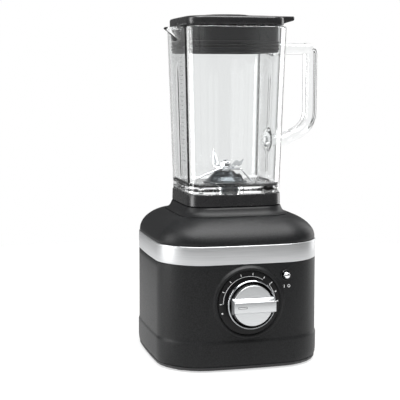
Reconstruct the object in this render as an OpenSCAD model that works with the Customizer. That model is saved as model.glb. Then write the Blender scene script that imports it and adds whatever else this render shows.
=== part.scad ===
// Countertop blender: die-cast motor base, glass jar with a fused handle,
// stamped four-prong blade, press-in lid with a filler cap.
// Origin: centre of the footprint on the surface it stands on. Front is -Y, up is +Z.

/* [Base] */
// Width of the base at the trim band
base_w = 200; // [190:1:210]
// Depth of the base at the trim band
base_d = 202.6; // [194:0.2:212]
// Corner radius of the base outline
base_r = 49.5; // [40:0.5:56]
// Outward bow of the front and the back
front_bow = 5.3; // [0:0.1:8]
// Outward bow of the left and right sides
side_bow = 4.6; // [0:0.1:8]
// Outward draft of each side at the foot of the base
foot_flare = 1.2; // [0.8:0.1:3]
// Wall of the die casting
wall = 3; // [2.5:0.1:4]
// Height of the soft step above the skirt
step_z = 36; // [30:1:44]
// Underside of the trim band
band_z = 126.6; // [124:0.1:132]
// Height of the trim band
band_h = 22; // [16:0.5:24]
// Height of the crease between shoulder and neck
crease_z = 178; // [174:0.1:179.5]
// Half width of the crease outline
crease_half = 69; // [66:0.5:76]
// Top plane of the neck
neck_z = 188.4; // [186:0.1:190]
// Half width of the neck at its top
neck_half = 59.8; // [58:0.1:61]

/* [Dial] */
// Height of the dial and its shaft
dial_z = 81.2; // [76:0.1:84]
// Radius of the bright ring round the dial
dial_r = 29; // [26:0.1:30]
// Radius of the dial's face
face_r = 23.7; // [20:0.1:24]
// Radius of the scale plate behind the dial
scale_r = 37.3; // [34:0.1:38]
// How far the grip bar's front stands from the middle of the base
grip_y = 128; // [124:0.1:130]
// Length of the grip bar
grip_l = 50; // [46:0.5:52]

/* [Toggle] */
// Distance of the toggle to the right of the dial
toggle_x = 45.4; // [42:0.1:48]
// Height of the toggle
toggle_z = 112; // [106:0.5:116]
// Radius of the ball on the lever
ball_r = 4.35; // [3.5:0.05:4.4]
// Outer radius of the bezel round the lever
bezel_r = 6.4; // [6.2:0.1:7.5]

/* [Jar] */
// Underside of the jar's collar
collar_z = 188.9; // [188.7:0.1:190.5]
// Top edge of the collar
collar_top_z = 203.5; // [202:0.5:206]
// Half width of the collar at its top
collar_half = 58.8; // [58:0.1:60]
// Half width of the glass just above the collar
jar_foot_half = 57.6; // [56:0.1:58]
// Half width of the glass at the rim
jar_rim_half = 63.4; // [62:0.1:66]
// Corner radius of the jar
jar_r = 20; // [18:0.5:24]
// Thickness of the glass wall
glass_wall = 4.6; // [4:0.1:5.5]
// Level of the jar's inner floor
floor_z = 212; // [210:0.5:214]
// Top of the rim
rim_z = 402.6; // [396:0.2:403]
// How far the pouring lip stands out of the rim
spout_out = 14; // [8:0.5:16]
// Outer face of the handle's grip
handle_x = 117.4; // [112:0.2:120]
// Width of the handle seen from its side
handle_w = 25; // [20:0.5:28]
// Thickness of the handle
handle_t = 14; // [12:0.5:16]

/* [Lid] */
// Underside of the lid's rim
lid_z = 403.9; // [403:0.1:405]
// Height of the lid's rim
lid_h = 10.3; // [9:0.1:12]
// Half width of the lid
lid_half = 60.8; // [59:0.1:62]
// Corner radius of the lid
lid_r = 18; // [16:0.5:22]
// Reach of the lifting tab from the middle of the jar
tab_x = 86.5; // [82:0.5:92]
// Radius of the filler cap
cap_r = 30; // [26:0.5:32]
// Total height of the blender
total_h = 418.2; // [417:0.1:420]

/* [Motor] */
// Radius of the motor shaft
shaft_r = 5; // [4:0.5:5]
// Radius of the armature
rotor_r = 27; // [24:0.5:28]
// Underside of the laminated core
core_z = 90; // [88:1:92]
// Height of the laminated core
core_h = 44; // [36:1:44]

/* [Hidden] */

// Sides of a fine circle and of a small one
$fn = 64;
small_fn = 32;
// A cut runs this far past the face that it opens
cut = 1;
// Clearance of a running fit, and the gap between parts that lift apart
fit = 0.05;
gap = 0.3;

front_y = -base_d / 2;
band_top_z = band_z + band_h;
skirt_z = 6;
tray_z = 1.8;
tray_t = 3;
hub_r = 7;
dial_floor_y = front_y - 0.7;
scale_y = dial_floor_y - 1.4;
well_half = 37;
well_wall = 2.5;
well_floor_z = 163;
stem_half = well_half - 0.6;
stem_z = 170.5;
post_xy = 55;
bolt_xy = 34;
boss_x = base_w / 2 - 6.5;
boss_y = 45;
gland_z = 24;

// ---------- outlines and lofts ----------

// Points of a rounded rectangle, anticlockwise, with points along its straight sides
function rounded(a, b, r, corner, side) =
    let (cx = [a - r, r - a, r - a, a - r], cy = [b - r, b - r, r - b, r - b],
         arcs = [for (k = [0:3]) [for (i = [0:corner])
             [cx[k] + r * cos(90 * (k + i / corner)), cy[k] + r * sin(90 * (k + i / corner))]]])
    [for (k = [0:3]) each concat(arcs[k],
        [for (j = [1:side - 1]) arcs[k][corner] +
            (arcs[(k + 1) % 4][0] - arcs[k][corner]) * j / side])];

// The same outline with bowed sides, still a by b half widths in all
function bowed(a, b, r, bow_b, bow_a, corner, side) =
    [for (p = rounded(a, b, r, corner, side))
        [p.x * (1 + bow_a / a * (1 - pow(p.y / b, 2))) * a / (a + bow_a),
         p.y * (1 + bow_b / b * (1 - pow(p.x / a, 2))) * b / (b + bow_b)]];

function at_height(points, z) = [for (p = points) [p.x, p.y, z]];

// A section of the base, inset from the outline at the band
function base_ring(inset, z, r = base_r) =
    at_height(bowed(base_w / 2 - inset, base_d / 2 - inset, r, front_bow, side_bow, 7, 6), z);

// A section of the neck or the shoulder, nearly square
function neck_ring(half, r, z, bow = 1.6) = at_height(bowed(half, half, r, bow, bow, 7, 6), z);

// Side walls between rings of n points; the last ring joins the first when closed
function band_faces(rings, n, closed) =
    [for (i = [0:(closed ? rings - 1 : rings - 2)]) for (j = [0:n - 1])
        let (a = i * n + j, b = i * n + (j + 1) % n,
             d = ((i + 1) % rings) * n + j, c = ((i + 1) % rings) * n + (j + 1) % n)
        each [[a, d, c], [a, c, b]]];

// A solid through rings, capped at both ends
module loft(rings) {
    n = len(rings[0]);
    last = (len(rings) - 1) * n;
    polyhedron([for (ring = rings) each ring],
        concat([[for (j = [0:n - 1]) j]], [[for (j = [0:n - 1]) last + n - 1 - j]],
               band_faces(len(rings), n, false)));
}

// A ring-shaped wall: out along the outer face, back along the inner one
module loft_loop(rings) {
    polyhedron([for (ring = rings) each ring], band_faces(len(rings), len(rings[0]), true));
}

module tube(outer, inner, h) {
    difference() {
        cylinder(r = outer, h = h);
        translate([0, 0, -cut]) cylinder(r = inner, h = h + 2 * cut);
    }
}

// Flat rounded square, exact arcs
module soft_square(half, r) {
    square([2 * half, 2 * (half - r)], center = true);
    square([2 * (half - r), 2 * half], center = true);
    for (x = [-1, 1], y = [-1, 1]) translate([x * (half - r), y * (half - r)]) circle(r = r);
}

// Sector of a flat ring, from angle a0 to a1, under a half turn
module sector(inner, outer, a0, a1) {
    reach = 2 * outer;
    mid = (a0 + a1) / 2;
    intersection() {
        difference() {
            circle(r = outer);
            circle(r = inner);
        }
        polygon([[0, 0], reach * [cos(a0), sin(a0)], reach * [cos(mid), sin(mid)],
                 reach * [cos(a1), sin(a1)]]);
    }
}

// Places children at the four corners of a square
module at_corners(xy) {
    for (x = [-1, 1], y = [-1, 1]) translate([x * xy, y * xy, 0]) children();
}

// Turns a shape that stands up +Z so that it points out of the front, at a height
module facing_front(x, y, z) {
    translate([x, y, z]) rotate([90, 0, 0]) children();
}

// ---------- base ----------

// Inset of the rounded shoulder, from its foot above the band (t = 0) to the crease (t = 1)
shoulder_foot = 0.9;
function shoulder_inset(t) = shoulder_foot +
    (base_w / 2 - crease_half - shoulder_foot) * (1 - pow(1 - pow(t, 1.9), 0.714));

function shoulder_ring(t, skin) =
    let (inset = shoulder_inset(t), z = band_top_z + (crease_z - band_top_z) * t)
    at_height(bowed(base_w / 2 - inset - skin, base_d / 2 - inset * (1 + 0.02 * t) - skin,
                    base_r - (base_r - 31) * t, front_bow * (1 - 0.7 * t),
                    side_bow * (1 - 0.65 * t), 7, 6), z - skin * t);

// The neck's hollow flare, from the crease up to the collar
function flare_ring(t, skin) =
    let (draft = 4.4, half = neck_half + draft * (1 - t) +
             (crease_half - neck_half - draft) * pow(1 - t, 5))
    neck_ring(half - skin, 24 + 6 * (1 - t) - skin / 2, crease_z + (neck_z - crease_z) * t);

shoulder_steps = [0.14, 0.28, 0.42, 0.56, 0.68, 0.78, 0.86, 0.93, 1];
flare_steps = [0.12, 0.26, 0.42, 0.6, 0.8];
band_depth = 1.2;

outer_skin = concat(
    [base_ring(0.2 - foot_flare / 2, skirt_z), base_ring(0.4 - foot_flare, skirt_z + 3.5),
     base_ring(-foot_flare, skirt_z + 8),
     base_ring(-foot_flare, step_z - 3), base_ring(-foot_flare / 2, step_z + 2),
     base_ring(-foot_flare / 3, dial_z), base_ring(0, band_z - 0.4),
     base_ring(band_depth, band_z - 0.1), base_ring(band_depth, band_top_z + 0.1),
     base_ring(shoulder_foot, band_top_z + 0.2)],
    [for (t = shoulder_steps) shoulder_ring(t, 0)],
    [for (t = flare_steps) flare_ring(t, 0)],
    [neck_ring(neck_half, 22.5, neck_z - 0.4), neck_ring(neck_half - 0.4, 22.1, neck_z)]);

neck_hole = well_half + well_wall + gap;
inner_skin = concat(
    [neck_ring(neck_hole, 14, neck_z, 0), neck_ring(neck_hole, 14, neck_z - wall, 0),
     neck_ring(neck_half - wall, 19.5, neck_z - wall), flare_ring(0.5, wall)],
    [for (i = [8:-2:0]) shoulder_ring(shoulder_steps[i], wall)],
    [base_ring(wall + band_depth, band_z), base_ring(wall - foot_flare / 3, dial_z),
     base_ring(wall - foot_flare, step_z), base_ring(wall - foot_flare, skirt_z)]);

// Half-round lip that frames the dial
module dial_lip() {
    rotate_extrude() intersection() {
        translate([scale_r + 3.4, 0]) circle(r = 3.2);
        translate([scale_r, -2.5]) square([10, 6]);
    }
}

module housing() {
    color("#2b2c2e") difference() {
        union() {
            loft_loop(concat(outer_skin, inner_skin));
            facing_front(0, dial_floor_y + 0.6, dial_z) dial_lip();
            for (x = [-1, 1], y = [-1, 1]) translate([x * boss_x, y * boss_y, skirt_z])
                cylinder(r = 6, h = 30, $fn = small_fn);
        }
        facing_front(0, dial_floor_y, dial_z) cylinder(r = scale_r + 0.2, h = 8);
        facing_front(0, dial_floor_y + 10, dial_z) cylinder(r = 6, h = 20);
        facing_front(toggle_x, front_y + 10, toggle_z)
            cylinder(r = bezel_r + 0.1, h = 20, $fn = small_fn);
        translate([0, base_d / 2 - 8, gland_z]) rotate([-90, 0, 0])
            cylinder(r = 6.6, h = 20, $fn = small_fn);
        for (x = [-1, 1], y = [-1, 1]) translate([x * boss_x, y * boss_y, skirt_z - cut])
            cylinder(r = 1.9, h = 26, $fn = small_fn);
    }
}

module trim_band() {
    color("#c9cacc") loft_loop([
        base_ring(0.1, band_z + 0.1), base_ring(-0.2, band_z + 0.5),
        base_ring(-0.2, band_top_z - 0.5), base_ring(0.1, band_top_z - 0.1),
        base_ring(band_depth - 0.1, band_top_z - 0.1), base_ring(band_depth - 0.1, band_z + 0.1)]);
}

// Tub in the neck that the jar's stem drops into
module well_insert() {
    tub_half = well_half + well_wall;
    flange_z = neck_z - wall - 2.6;
    color("#1c1c1d") difference() {
        union() {
            translate([0, 0, well_floor_z]) linear_extrude(neck_z - 0.2 - well_floor_z)
                soft_square(tub_half, 13.5);
            translate([0, 0, flange_z]) linear_extrude(2.5) soft_square(tub_half + 9, 16);
            translate([0, 0, well_floor_z - 5]) cylinder(r = 19, h = 6);
        }
        translate([0, 0, well_floor_z + well_wall]) linear_extrude(neck_z)
            soft_square(well_half, 11);
        translate([0, 0, well_floor_z - 6]) cylinder(r = 16.5, h = 20);
    }
}

module bottom_tray() {
    color("#1f1f20") difference() {
        union() {
            loft([base_ring(1.6, tray_z), base_ring(0.6, tray_z + 0.5),
                  base_ring(0.4 - foot_flare / 2, tray_z + 2.6),
                  base_ring(0.4 - foot_flare / 2, skirt_z - 0.2)]);
            translate([0, 0, tray_z - 0.3]) cylinder(r = hub_r, h = tray_t + 0.3, $fn = small_fn);
            at_corners(post_xy) translate([0, 0, tray_z + 1])
                cylinder(r = 8, h = bracket_z - 3 - tray_z - 1, $fn = small_fn);
            for (x = [-1, 1]) translate([x * 47 - 3, front_y + 21, tray_z + 1]) cube([6, 9, 107]);
        }
        // hollow above the tray's floor, round the posts
        difference() {
            loft([base_ring(6, tray_z + tray_t), base_ring(6, skirt_z + cut)]);
            at_corners(post_xy) cylinder(r = 8, h = 60, $fn = small_fn);
            for (x = [-1, 1]) translate([x * 47 - 3, front_y + 21, 0]) cube([6, 9, 108]);
            for (x = [-1, 1], y = [-1, 1]) translate([x * boss_x, y * boss_y, 0])
                cylinder(r = 7, h = 20, $fn = small_fn);
        }
        at_corners(post_xy) translate([0, 0, 30]) cylinder(r = 2.6, h = 30, $fn = small_fn);
        at_corners(72) translate([0, 0, 0]) cylinder(r = 4, h = 12, $fn = small_fn);
        for (x = [-1, 1], y = [-1, 1]) translate([x * boss_x, y * boss_y, -cut])
            cylinder(r = 2.3, h = 12, $fn = small_fn);
        for (x = [-1, 1], y = [-1, 1]) translate([x * boss_x, y * boss_y, -cut])
            cylinder(r = 4.6, h = tray_z + 2.4 + cut, $fn = small_fn);
        for (x = [-1, 1]) translate([x * 46 - 3.6, front_y + 24.8, 12]) cube([7.2, 2, 110]);
        // air slots under the fan, round a plain hub
        difference() {
            for (i = [-4:4]) translate([i * 7 - 1.5, -(33 - abs(i) * 2), 0])
                cube([3, 2 * (33 - abs(i) * 2), 12]);
            cylinder(r = hub_r, h = 12, $fn = small_fn);
        }
    }
}

module feet() {
    color("#161616") at_corners(72) rotate_extrude($fn = small_fn) polygon([
        [0, 0], [9, 0], [10, 1], [10, tray_z - 0.05], [3.9, tray_z - 0.05], [3.9, 6.5],
        [5, 6.5], [4, 9], [0, 9]]);
}

module tray_screws() {
    color("#b4b6b8") for (x = [-1, 1], y = [-1, 1]) translate([x * boss_x, y * boss_y, 0])
        difference() {
            union() {
                translate([0, 0, tray_z + 0.2]) cylinder(r = 4, h = 2.1, $fn = small_fn);
                translate([0, 0, tray_z + 1]) cylinder(r = 1.85, h = 24, $fn = small_fn);
            }
            translate([0, 0, tray_z + 0.8]) cube([5, 1, 1.6], center = true);
            translate([0, 0, tray_z + 0.8]) cube([1, 5, 1.6], center = true);
        }
}

// Moulded inlet for the supply cable
module cord_gland() {
    color("#1a1a1a") translate([0, base_d / 2 - 5, gland_z]) rotate([-90, 0, 0])
        rotate_extrude($fn = small_fn) polygon([
            [3.6, 0], [8.4, 0], [8.4, 2.4], [6.5, 2.4], [6.5, 8.6], [9, 8.6], [9, 10],
            [7.5, 11.4], [3.6, 11.4]]);
}

module scale_plate() {
    color("#18191a") facing_front(0, dial_floor_y, dial_z) tube(scale_r, 7, 1.4);
}

module speed_selector() {
    color("#3a3d3f") difference() {
        union() {
            translate([-11, front_y + 5, dial_z - 11]) cube([22, 19.6, 22]);
            facing_front(0, front_y + 5.5, dial_z) cylinder(r = 5, h = 3, $fn = small_fn);
        }
        facing_front(0, front_y + 22, dial_z) cylinder(r = 3 + fit, h = 40, $fn = small_fn);
    }
}

board_y = front_y + 25;
module control_board() {
    color("#2f6b3c") difference() {
        translate([-45.6, board_y, 44]) cube([91.2, 1.6, 66]);
        for (x = [-38, 38], z = [50, 104]) translate([x, board_y - cut, z]) rotate([-90, 0, 0])
            cylinder(r = 1.8, h = 4, $fn = small_fn);
    }
}

module board_parts() {
    color("#4a5560") {
        for (x = [-32, -22]) facing_front(x, board_y, 58) cylinder(r = 4.4, h = 12, $fn = small_fn);
        translate([-40, board_y - 14, 84]) cube([18, 14, 14]);
        translate([16, board_y - 8, 52]) cube([14, 8, 5]);
        for (i = [0:3]) translate([-33 + i * 6, board_y - 5, 72]) cube([3, 5, 5]);
        translate([20, board_y - 4, 80]) cube([10, 4, 10]);
    }
}

module heat_sink() {
    sink_y = board_y + 1.6;
    color("#9fa3a6") difference() {
        translate([16, sink_y, 50]) cube([26, 15, 26]);
        for (i = [0:4]) translate([18 + i * 4.8, sink_y + 3, 48]) cube([2.8, 16, 30]);
    }
}

module toggle_bezel() {
    color("#101010") facing_front(toggle_x, front_y + 5, toggle_z) difference() {
        cylinder(r = bezel_r, h = 5.6, $fn = small_fn);
        translate([0, 0, -cut]) cylinder(r = bezel_r - 0.8, h = 9, $fn = small_fn);
    }
}

lever_pin_r = 1.2;
module toggle_switch() {
    color("#3b3b3b") difference() {
        translate([toggle_x - 6.5, front_y + 6.3, toggle_z - 6]) cube([13, 13, 12]);
        translate([toggle_x - 4, front_y + 4, toggle_z - 4]) cube([8, 9, 8]);
        translate([toggle_x, front_y + 8, toggle_z - 7])
            cylinder(r = lever_pin_r + fit, h = 14, $fn = small_fn);
    }
}

module air_duct() {
    color("#26282a") translate([0, 0, tray_z + tray_t + 0.2]) difference() {
        union() {
            tube(44.5, 42, 41);
            for (a = [0:90:270]) rotate([0, 0, a]) translate([43, -4, 0]) cube([9, 8, 3]);
        }
        for (a = [45:90:315]) rotate([0, 0, a]) translate([38, -9, 20]) cube([10, 18, 8]);
    }
}

// ---------- motor, fixed parts ----------

bracket_z = 54;
bracket_t = 4;
upper_z = core_z + core_h + 13;

module upper_bracket() {
    color("#a9acaf") difference() {
        union() {
            translate([0, 0, upper_z]) cylinder(r = 30, h = bracket_t);
            for (a = [45, 135]) rotate([0, 0, a]) translate([-54, -7, upper_z]) cube([108, 14, bracket_t]);
            at_corners(bolt_xy) translate([0, 0, core_z + core_h])
                cylinder(r = 6, h = 13 + bracket_t / 2, $fn = small_fn);
            translate([0, 0, upper_z - 4]) cylinder(r = 17, h = 8);
        }
        translate([0, 0, upper_z - 5]) cylinder(r = 13, h = 8.2);
        translate([0, 0, upper_z - 5]) cylinder(r = 9, h = 20);
        at_corners(bolt_xy) translate([0, 0, core_z]) cylinder(r = 2.6, h = 80, $fn = small_fn);
    }
}

module lower_bracket() {
    color("#a9acaf") difference() {
        union() {
            translate([0, 0, bracket_z]) cylinder(r = 34, h = bracket_t);
            for (a = [45, 135]) rotate([0, 0, a])
                translate([-post_xy * sqrt(2), -9, bracket_z]) cube([2 * post_xy * sqrt(2), 18, bracket_t]);
            at_corners(post_xy) translate([0, 0, bracket_z])
                cylinder(r = 10, h = bracket_t, $fn = small_fn);
            at_corners(bolt_xy) translate([0, 0, bracket_z])
                cylinder(r = 6, h = core_z - bracket_z, $fn = small_fn);
            translate([0, 0, bracket_z - 5]) cylinder(r = 17, h = 9);
        }
        translate([0, 0, bracket_z - 4]) cylinder(r = 13, h = 20);
        translate([0, 0, bracket_z - 6]) cylinder(r = 9, h = 20);
        at_corners(post_xy) translate([0, 0, bracket_z - cut]) cylinder(r = 6, h = 10, $fn = small_fn);
        at_corners(bolt_xy) translate([0, 0, bracket_z - cut]) cylinder(r = 2.6, h = 60, $fn = small_fn);
    }
}

module stator_core() {
    color("#6c7074") translate([0, 0, core_z]) linear_extrude(core_h) difference() {
        intersection() {
            circle(r = 52);
            square(88, center = true);
        }
        circle(r = rotor_r + 0.6);
        for (a = [0, 180], s = [-1, 1]) rotate(a) sector(30.5, 40, s * 58 - 12, s * 58 + 12);
        for (a = [45:90:315]) rotate(a) translate([bolt_xy * sqrt(2), 0]) circle(r = 2.6, $fn = small_fn);
    }
}

module field_coils() {
    turn_h = 9;
    color("#a8562a") for (a = [0, 180]) rotate([0, 0, a]) {
        for (s = [-1, 1]) translate([0, 0, core_z - turn_h]) linear_extrude(core_h + 2 * turn_h)
            sector(31, 39.5, s * 58 - 11, s * 58 + 11);
        for (z = [core_z - turn_h, core_z + core_h + 0.5]) translate([0, 0, z])
            linear_extrude(turn_h - 0.5) sector(31, 39.5, -60, 60);
    }
}

module motor_bolts() {
    color("#c2c4c6") at_corners(bolt_xy) {
        translate([0, 0, bracket_z - 3]) cylinder(r = 2.5, h = upper_z + 6 - bracket_z, $fn = small_fn);
        translate([0, 0, upper_z + bracket_t]) cylinder(r = 4.6, h = 3.4, $fn = small_fn);
        translate([0, 0, bracket_z - 3.6]) cylinder(r = 4.6, h = 3.5, $fn = 6);
    }
}

brush_z = 73;
module at_brushes() {
    for (s = [-1, 1]) translate([0, 0, brush_z]) rotate([0, 0, s * 90]) children();
}

module brush_holders() {
    color("#b08d3e") at_brushes() difference() {
        union() {
            translate([17, -6, -7]) cube([22, 12, 14]);
            translate([17, -6, bracket_z + bracket_t - brush_z]) cube([16, 12, 10]);
        }
        translate([16, -4.1, -5.1]) cube([22, 8.2, 10.2]);
    }
}

module carbon_brushes() {
    color("#2a2a2c") at_brushes() translate([15.15, -4, -5]) cube([11, 8, 10]);
}

module brush_springs() {
    turns = 5;
    color("#8f9396") at_brushes() for (i = [0:turns - 1]) translate([27.4 + i * 2, 0, 0])
        rotate([0, 90, 0]) rotate_extrude($fn = small_fn) translate([3.2, 0]) circle(r = 0.5, $fn = 16);
}

module upper_bearing_outer() {
    color("#d0d2d4") translate([0, 0, upper_z - 4.6]) tube(12.95, 10.4, 7.6);
}

module lower_bearing_outer() {
    color("#d0d2d4") translate([0, 0, bracket_z - 4]) tube(12.95, 10.4, 7.6);
}

module motor_grommets() {
    color("#1d1d1d") at_corners(post_xy) translate([0, 0, bracket_z - 3]) rotate_extrude($fn = small_fn)
        polygon([[3, 0], [10, 0], [10, 3], [5.9, 3], [5.9, 7], [10, 7], [10, 10], [3, 10]]);
}

module mount_screws() {
    color("#c2c4c6") at_corners(post_xy) {
        translate([0, 0, 34]) cylinder(r = 2.5, h = bracket_z + 7 - 34, $fn = small_fn);
        translate([0, 0, bracket_z + 7]) cylinder(r = 9, h = 1.2, $fn = small_fn);
        translate([0, 0, bracket_z + 8.2]) cylinder(r = 4.6, h = 3.4, $fn = 6);
    }
}

// ---------- leads held inside the base ----------

// Unit vector of v
function unit(v) = v / norm(v);

// Ring of n points round p, across direction d
function lead_ring(p, d, r, n) =
    let (side = unit(cross(d, [0.31, 0.17, 0.93])), up = cross(unit(d), side))
    [for (i = [0:n - 1]) p + r * (side * cos(360 * i / n) + up * sin(360 * i / n))];

// Round tube along a path of points
module lead(path, r) {
    last = len(path) - 1;
    loft([for (i = [0:last])
        lead_ring(path[i], path[min(i + 1, last)] - path[max(i - 1, 0)], r, 8)]);
}

// Points that soften a route's corners, by cutting each corner twice
function soften(p, passes) = passes == 0 ? p : soften(concat([p[0]],
    [for (i = [0:len(p) - 2]) each [p[i] * 0.75 + p[i + 1] * 0.25, p[i] * 0.25 + p[i + 1] * 0.75]],
    [p[len(p) - 1]]), passes - 1);

supply_route = [[0, 88, 24], [2, 82, 24], [20, 76, 16], [64, 70, 12], [80, 40, 12],
                [82, -20, 12], [74, -60, 20], [60, -66, 34], [46, -66, 42], [36, -66, 44],
                [36, -74.4, 44]];

module supply_leads() {
    color("#7a4a2a") lead(soften(supply_route, 2), 2.6);
}

motor_routes = [
    [[30, -72, 96], [34, -66, 104], [50, -50, 112], [56, -20, 100], [50, -6, 80], [36, 0, 79]],
    [[-30, -72, 96], [-34, -66, 104], [-50, -50, 112], [-56, -20, 100], [-50, -6, 80], [-36, 0, 79]]];

module motor_leads() {
    color("#b22a24") for (route = motor_routes) lead(soften(route, 2), 1.6);
}

// ---------- motor, turning parts ----------

module motor_shaft() {
    color("#b9bcbf") {
        translate([0, 0, 24]) cylinder(r = shaft_r, h = 151);
        translate([0, 0, 60]) cylinder(r = 7.5, h = 80);
    }
}

module armature_core() {
    slots = 14;
    color("#7d8185") translate([0, 0, core_z + 1]) linear_extrude(core_h - 2) difference() {
        circle(r = rotor_r);
        circle(r = 7.5);
        for (i = [0:slots - 1]) rotate(i * 360 / slots) translate([16, -2]) square([9, 4]);
        for (i = [0:slots - 1]) rotate(i * 360 / slots) translate([24, -0.8]) square([6, 1.6]);
    }
}

module armature_windings() {
    color("#9c4f26") for (z = [core_z - 7, core_z + core_h - 1]) translate([0, 0, z])
        rotate_extrude() polygon([[7.5, 0], [18, 0], [22.5, 2.5], [24.5, 4.5], [24.5, 8], [7.5, 8]]);
}

module commutator() {
    bars = 24;
    color("#b87333") translate([0, 0, 64]) linear_extrude(18.8) difference() {
        circle(r = 15);
        circle(r = 7.5);
        for (i = [0:bars - 1]) rotate(i * 360 / bars) translate([13, -0.3]) square([4, 0.6]);
    }
}

module cooling_fan() {
    fan_z = 28;
    color("#3d4144") translate([0, 0, fan_z]) {
        tube(10, shaft_r, 14);
        difference() {
            translate([0, 0, 12.5]) tube(38, 9.9, 1.5);
            for (a = [0:60:300]) rotate([0, 0, a]) translate([14, 0, 10])
                cylinder(r = 2.5, h = 6, $fn = small_fn);
        }
        for (a = [0:30:330]) rotate([0, 0, a]) translate([9.8, 0, 0]) rotate([0, 0, -20])
            translate([0, -0.8, 0]) cube([27.5, 1.6, 12.6]);
    }
}

// Toothed outline shared by the two halves of the jar drive
module spline(root, tip, teeth) {
    circle(r = root);
    for (i = [0:teeth - 1]) rotate(i * 360 / teeth)
        polygon([[0, -1.6], [root, -1.6], [tip, -0.9], [tip, 0.9], [root, 1.6], [0, 1.6]]);
}

coupling_z = 166.5;
module drive_coupling() {
    color("#8d9194") difference() {
        union() {
            translate([0, 0, 154]) cylinder(r = 8.5, h = coupling_z - 154 + 0.5);
            translate([0, 0, coupling_z]) linear_extrude(12) spline(10.5, 13, 12);
            translate([0, 0, coupling_z + 12]) cylinder(r1 = 10.2, r2 = 8, h = 1.8);
        }
        translate([0, 0, 150]) cylinder(r = shaft_r, h = 25);
    }
}

module bearing_inner_races() {
    color("#dcdedf") for (z = [bracket_z - 4, upper_z - 4.6]) translate([0, 0, z])
        tube(8.2, shaft_r, 7.6);
}

// ---------- dial ----------

dial_back_y = scale_y - 1.2;

// Grip bar across the face, seen from its end, y forward and z up
module dial_cap() {
    bar_end = [[114, -9.4], [119.5, -9.4], [127, -6.6], [grip_y, -5.8],
               [grip_y, 5.8], [127, 6.6], [119.5, 9.4], [114, 9.4]];
    color("#c4c6c8") {
        facing_front(0, 0, dial_z) rotate_extrude() polygon([
            [0, 113.2], [face_r, 113.2], [face_r, 118.7], [face_r - 0.8, 119.5], [0, 119.5]]);
        translate([-grip_l / 2, 0, dial_z]) rotate([90, 0, 90]) linear_extrude(grip_l)
            polygon([for (p = bar_end) [-p.x, p.y]]);
    }
}

module dial_skirt() {
    color("#0e0e0e") facing_front(0, 0, dial_z) difference() {
        rotate_extrude() polygon([[0, 106.6], [26.2, 106.6], [26.2, 112.2], [25.6, 113.2],
                                  [0, 113.2]]);
        translate([0, 0, 100]) cylinder(r = 3, h = 12, $fn = small_fn);
    }
}

module dial_ring() {
    back = -dial_back_y;
    color("#dfe1e3") facing_front(0, 0, dial_z) rotate_extrude() polygon([
        [9, back], [dial_r - 1, back], [dial_r, back + 1], [dial_r, 113.6], [dial_r - 0.5, 114.8],
        [dial_r - 1.5, 115.2], [26.3, 114.4], [26.3, 106.5], [9, 106.5]]);
}

module dial_shaft() {
    color("#a9acaf") facing_front(0, -80.5, dial_z) cylinder(r = 3, h = 31, $fn = small_fn);
}

// ---------- toggle ----------

lever_y = front_y + 8;
ball_y = front_y - 2.3;
module toggle_lever() {
    color("#d3d5d7") {
        translate([toggle_x, lever_y, toggle_z - 5.8])
            cylinder(r = lever_pin_r, h = 11.6, $fn = small_fn);
        facing_front(toggle_x, lever_y + 2, toggle_z)
            cylinder(r = 2, h = lever_y + 2 - ball_y, $fn = small_fn);
        translate([toggle_x, ball_y, toggle_z]) sphere(r = ball_r, $fn = small_fn);
    }
}

// ---------- jar ----------

// Half width of the glass outside at a height
function jar_half(z) = jar_foot_half +
    (jar_rim_half - jar_foot_half) * (z - collar_top_z) / (rim_z - collar_top_z);

// Outline of the glass with a pouring lip pushed out on the left
lip_w = 24;
function jar_ring(half, r, z, lip = 0) =
    [for (p = bowed(half, half, r, 1.2, 1.2, 7, 12))
        [p.x - (p.x < 0 && abs(p.y) < lip_w ? lip * pow(cos(90 * p.y / lip_w), 2) : 0), p.y, z]];

foot_half = 54.9;
jar_foot_z = 196.6;
glass_outside = [
    jar_ring(foot_half - 1, jar_r - 4, jar_foot_z), jar_ring(foot_half, jar_r - 3, jar_foot_z + 1),
    jar_ring(foot_half, jar_r - 3, collar_top_z), jar_ring(jar_half(204.5), jar_r, collar_top_z + 1),
    jar_ring(jar_half(260), jar_r, 260), jar_ring(jar_half(320), jar_r, 320),
    jar_ring(jar_half(388), jar_r, 388), jar_ring(jar_half(393), jar_r, 393, spout_out * 0.3),
    jar_ring(jar_half(398), jar_r, 398, spout_out * 0.75),
    jar_ring(jar_half(401), jar_r, rim_z - 1.4, spout_out),
    jar_ring(jar_half(401) - 1, jar_r - 1, rim_z, spout_out)];
glass_inside = [
    jar_ring(jar_half(401) - glass_wall + 1, jar_r - 4, rim_z, spout_out - 1),
    jar_ring(jar_half(401) - glass_wall, jar_r - 5, rim_z - 1.2, spout_out - 1.5),
    jar_ring(jar_half(396) - glass_wall, jar_r - 5, 396, spout_out * 0.5),
    jar_ring(jar_half(386) - glass_wall, jar_r - 5, 386),
    jar_ring(jar_half(320) - glass_wall, jar_r - 5, 320),
    jar_ring(jar_half(260) - glass_wall, jar_r - 5, 260),
    jar_ring(jar_half(floor_z + 5) - glass_wall, jar_r - 5, floor_z + 5),
    jar_ring(jar_half(floor_z + 5) - glass_wall - 1.5, jar_r - 6, floor_z + 1.4),
    jar_ring(jar_half(floor_z + 5) - glass_wall - 5, jar_r - 9, floor_z)];

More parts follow.
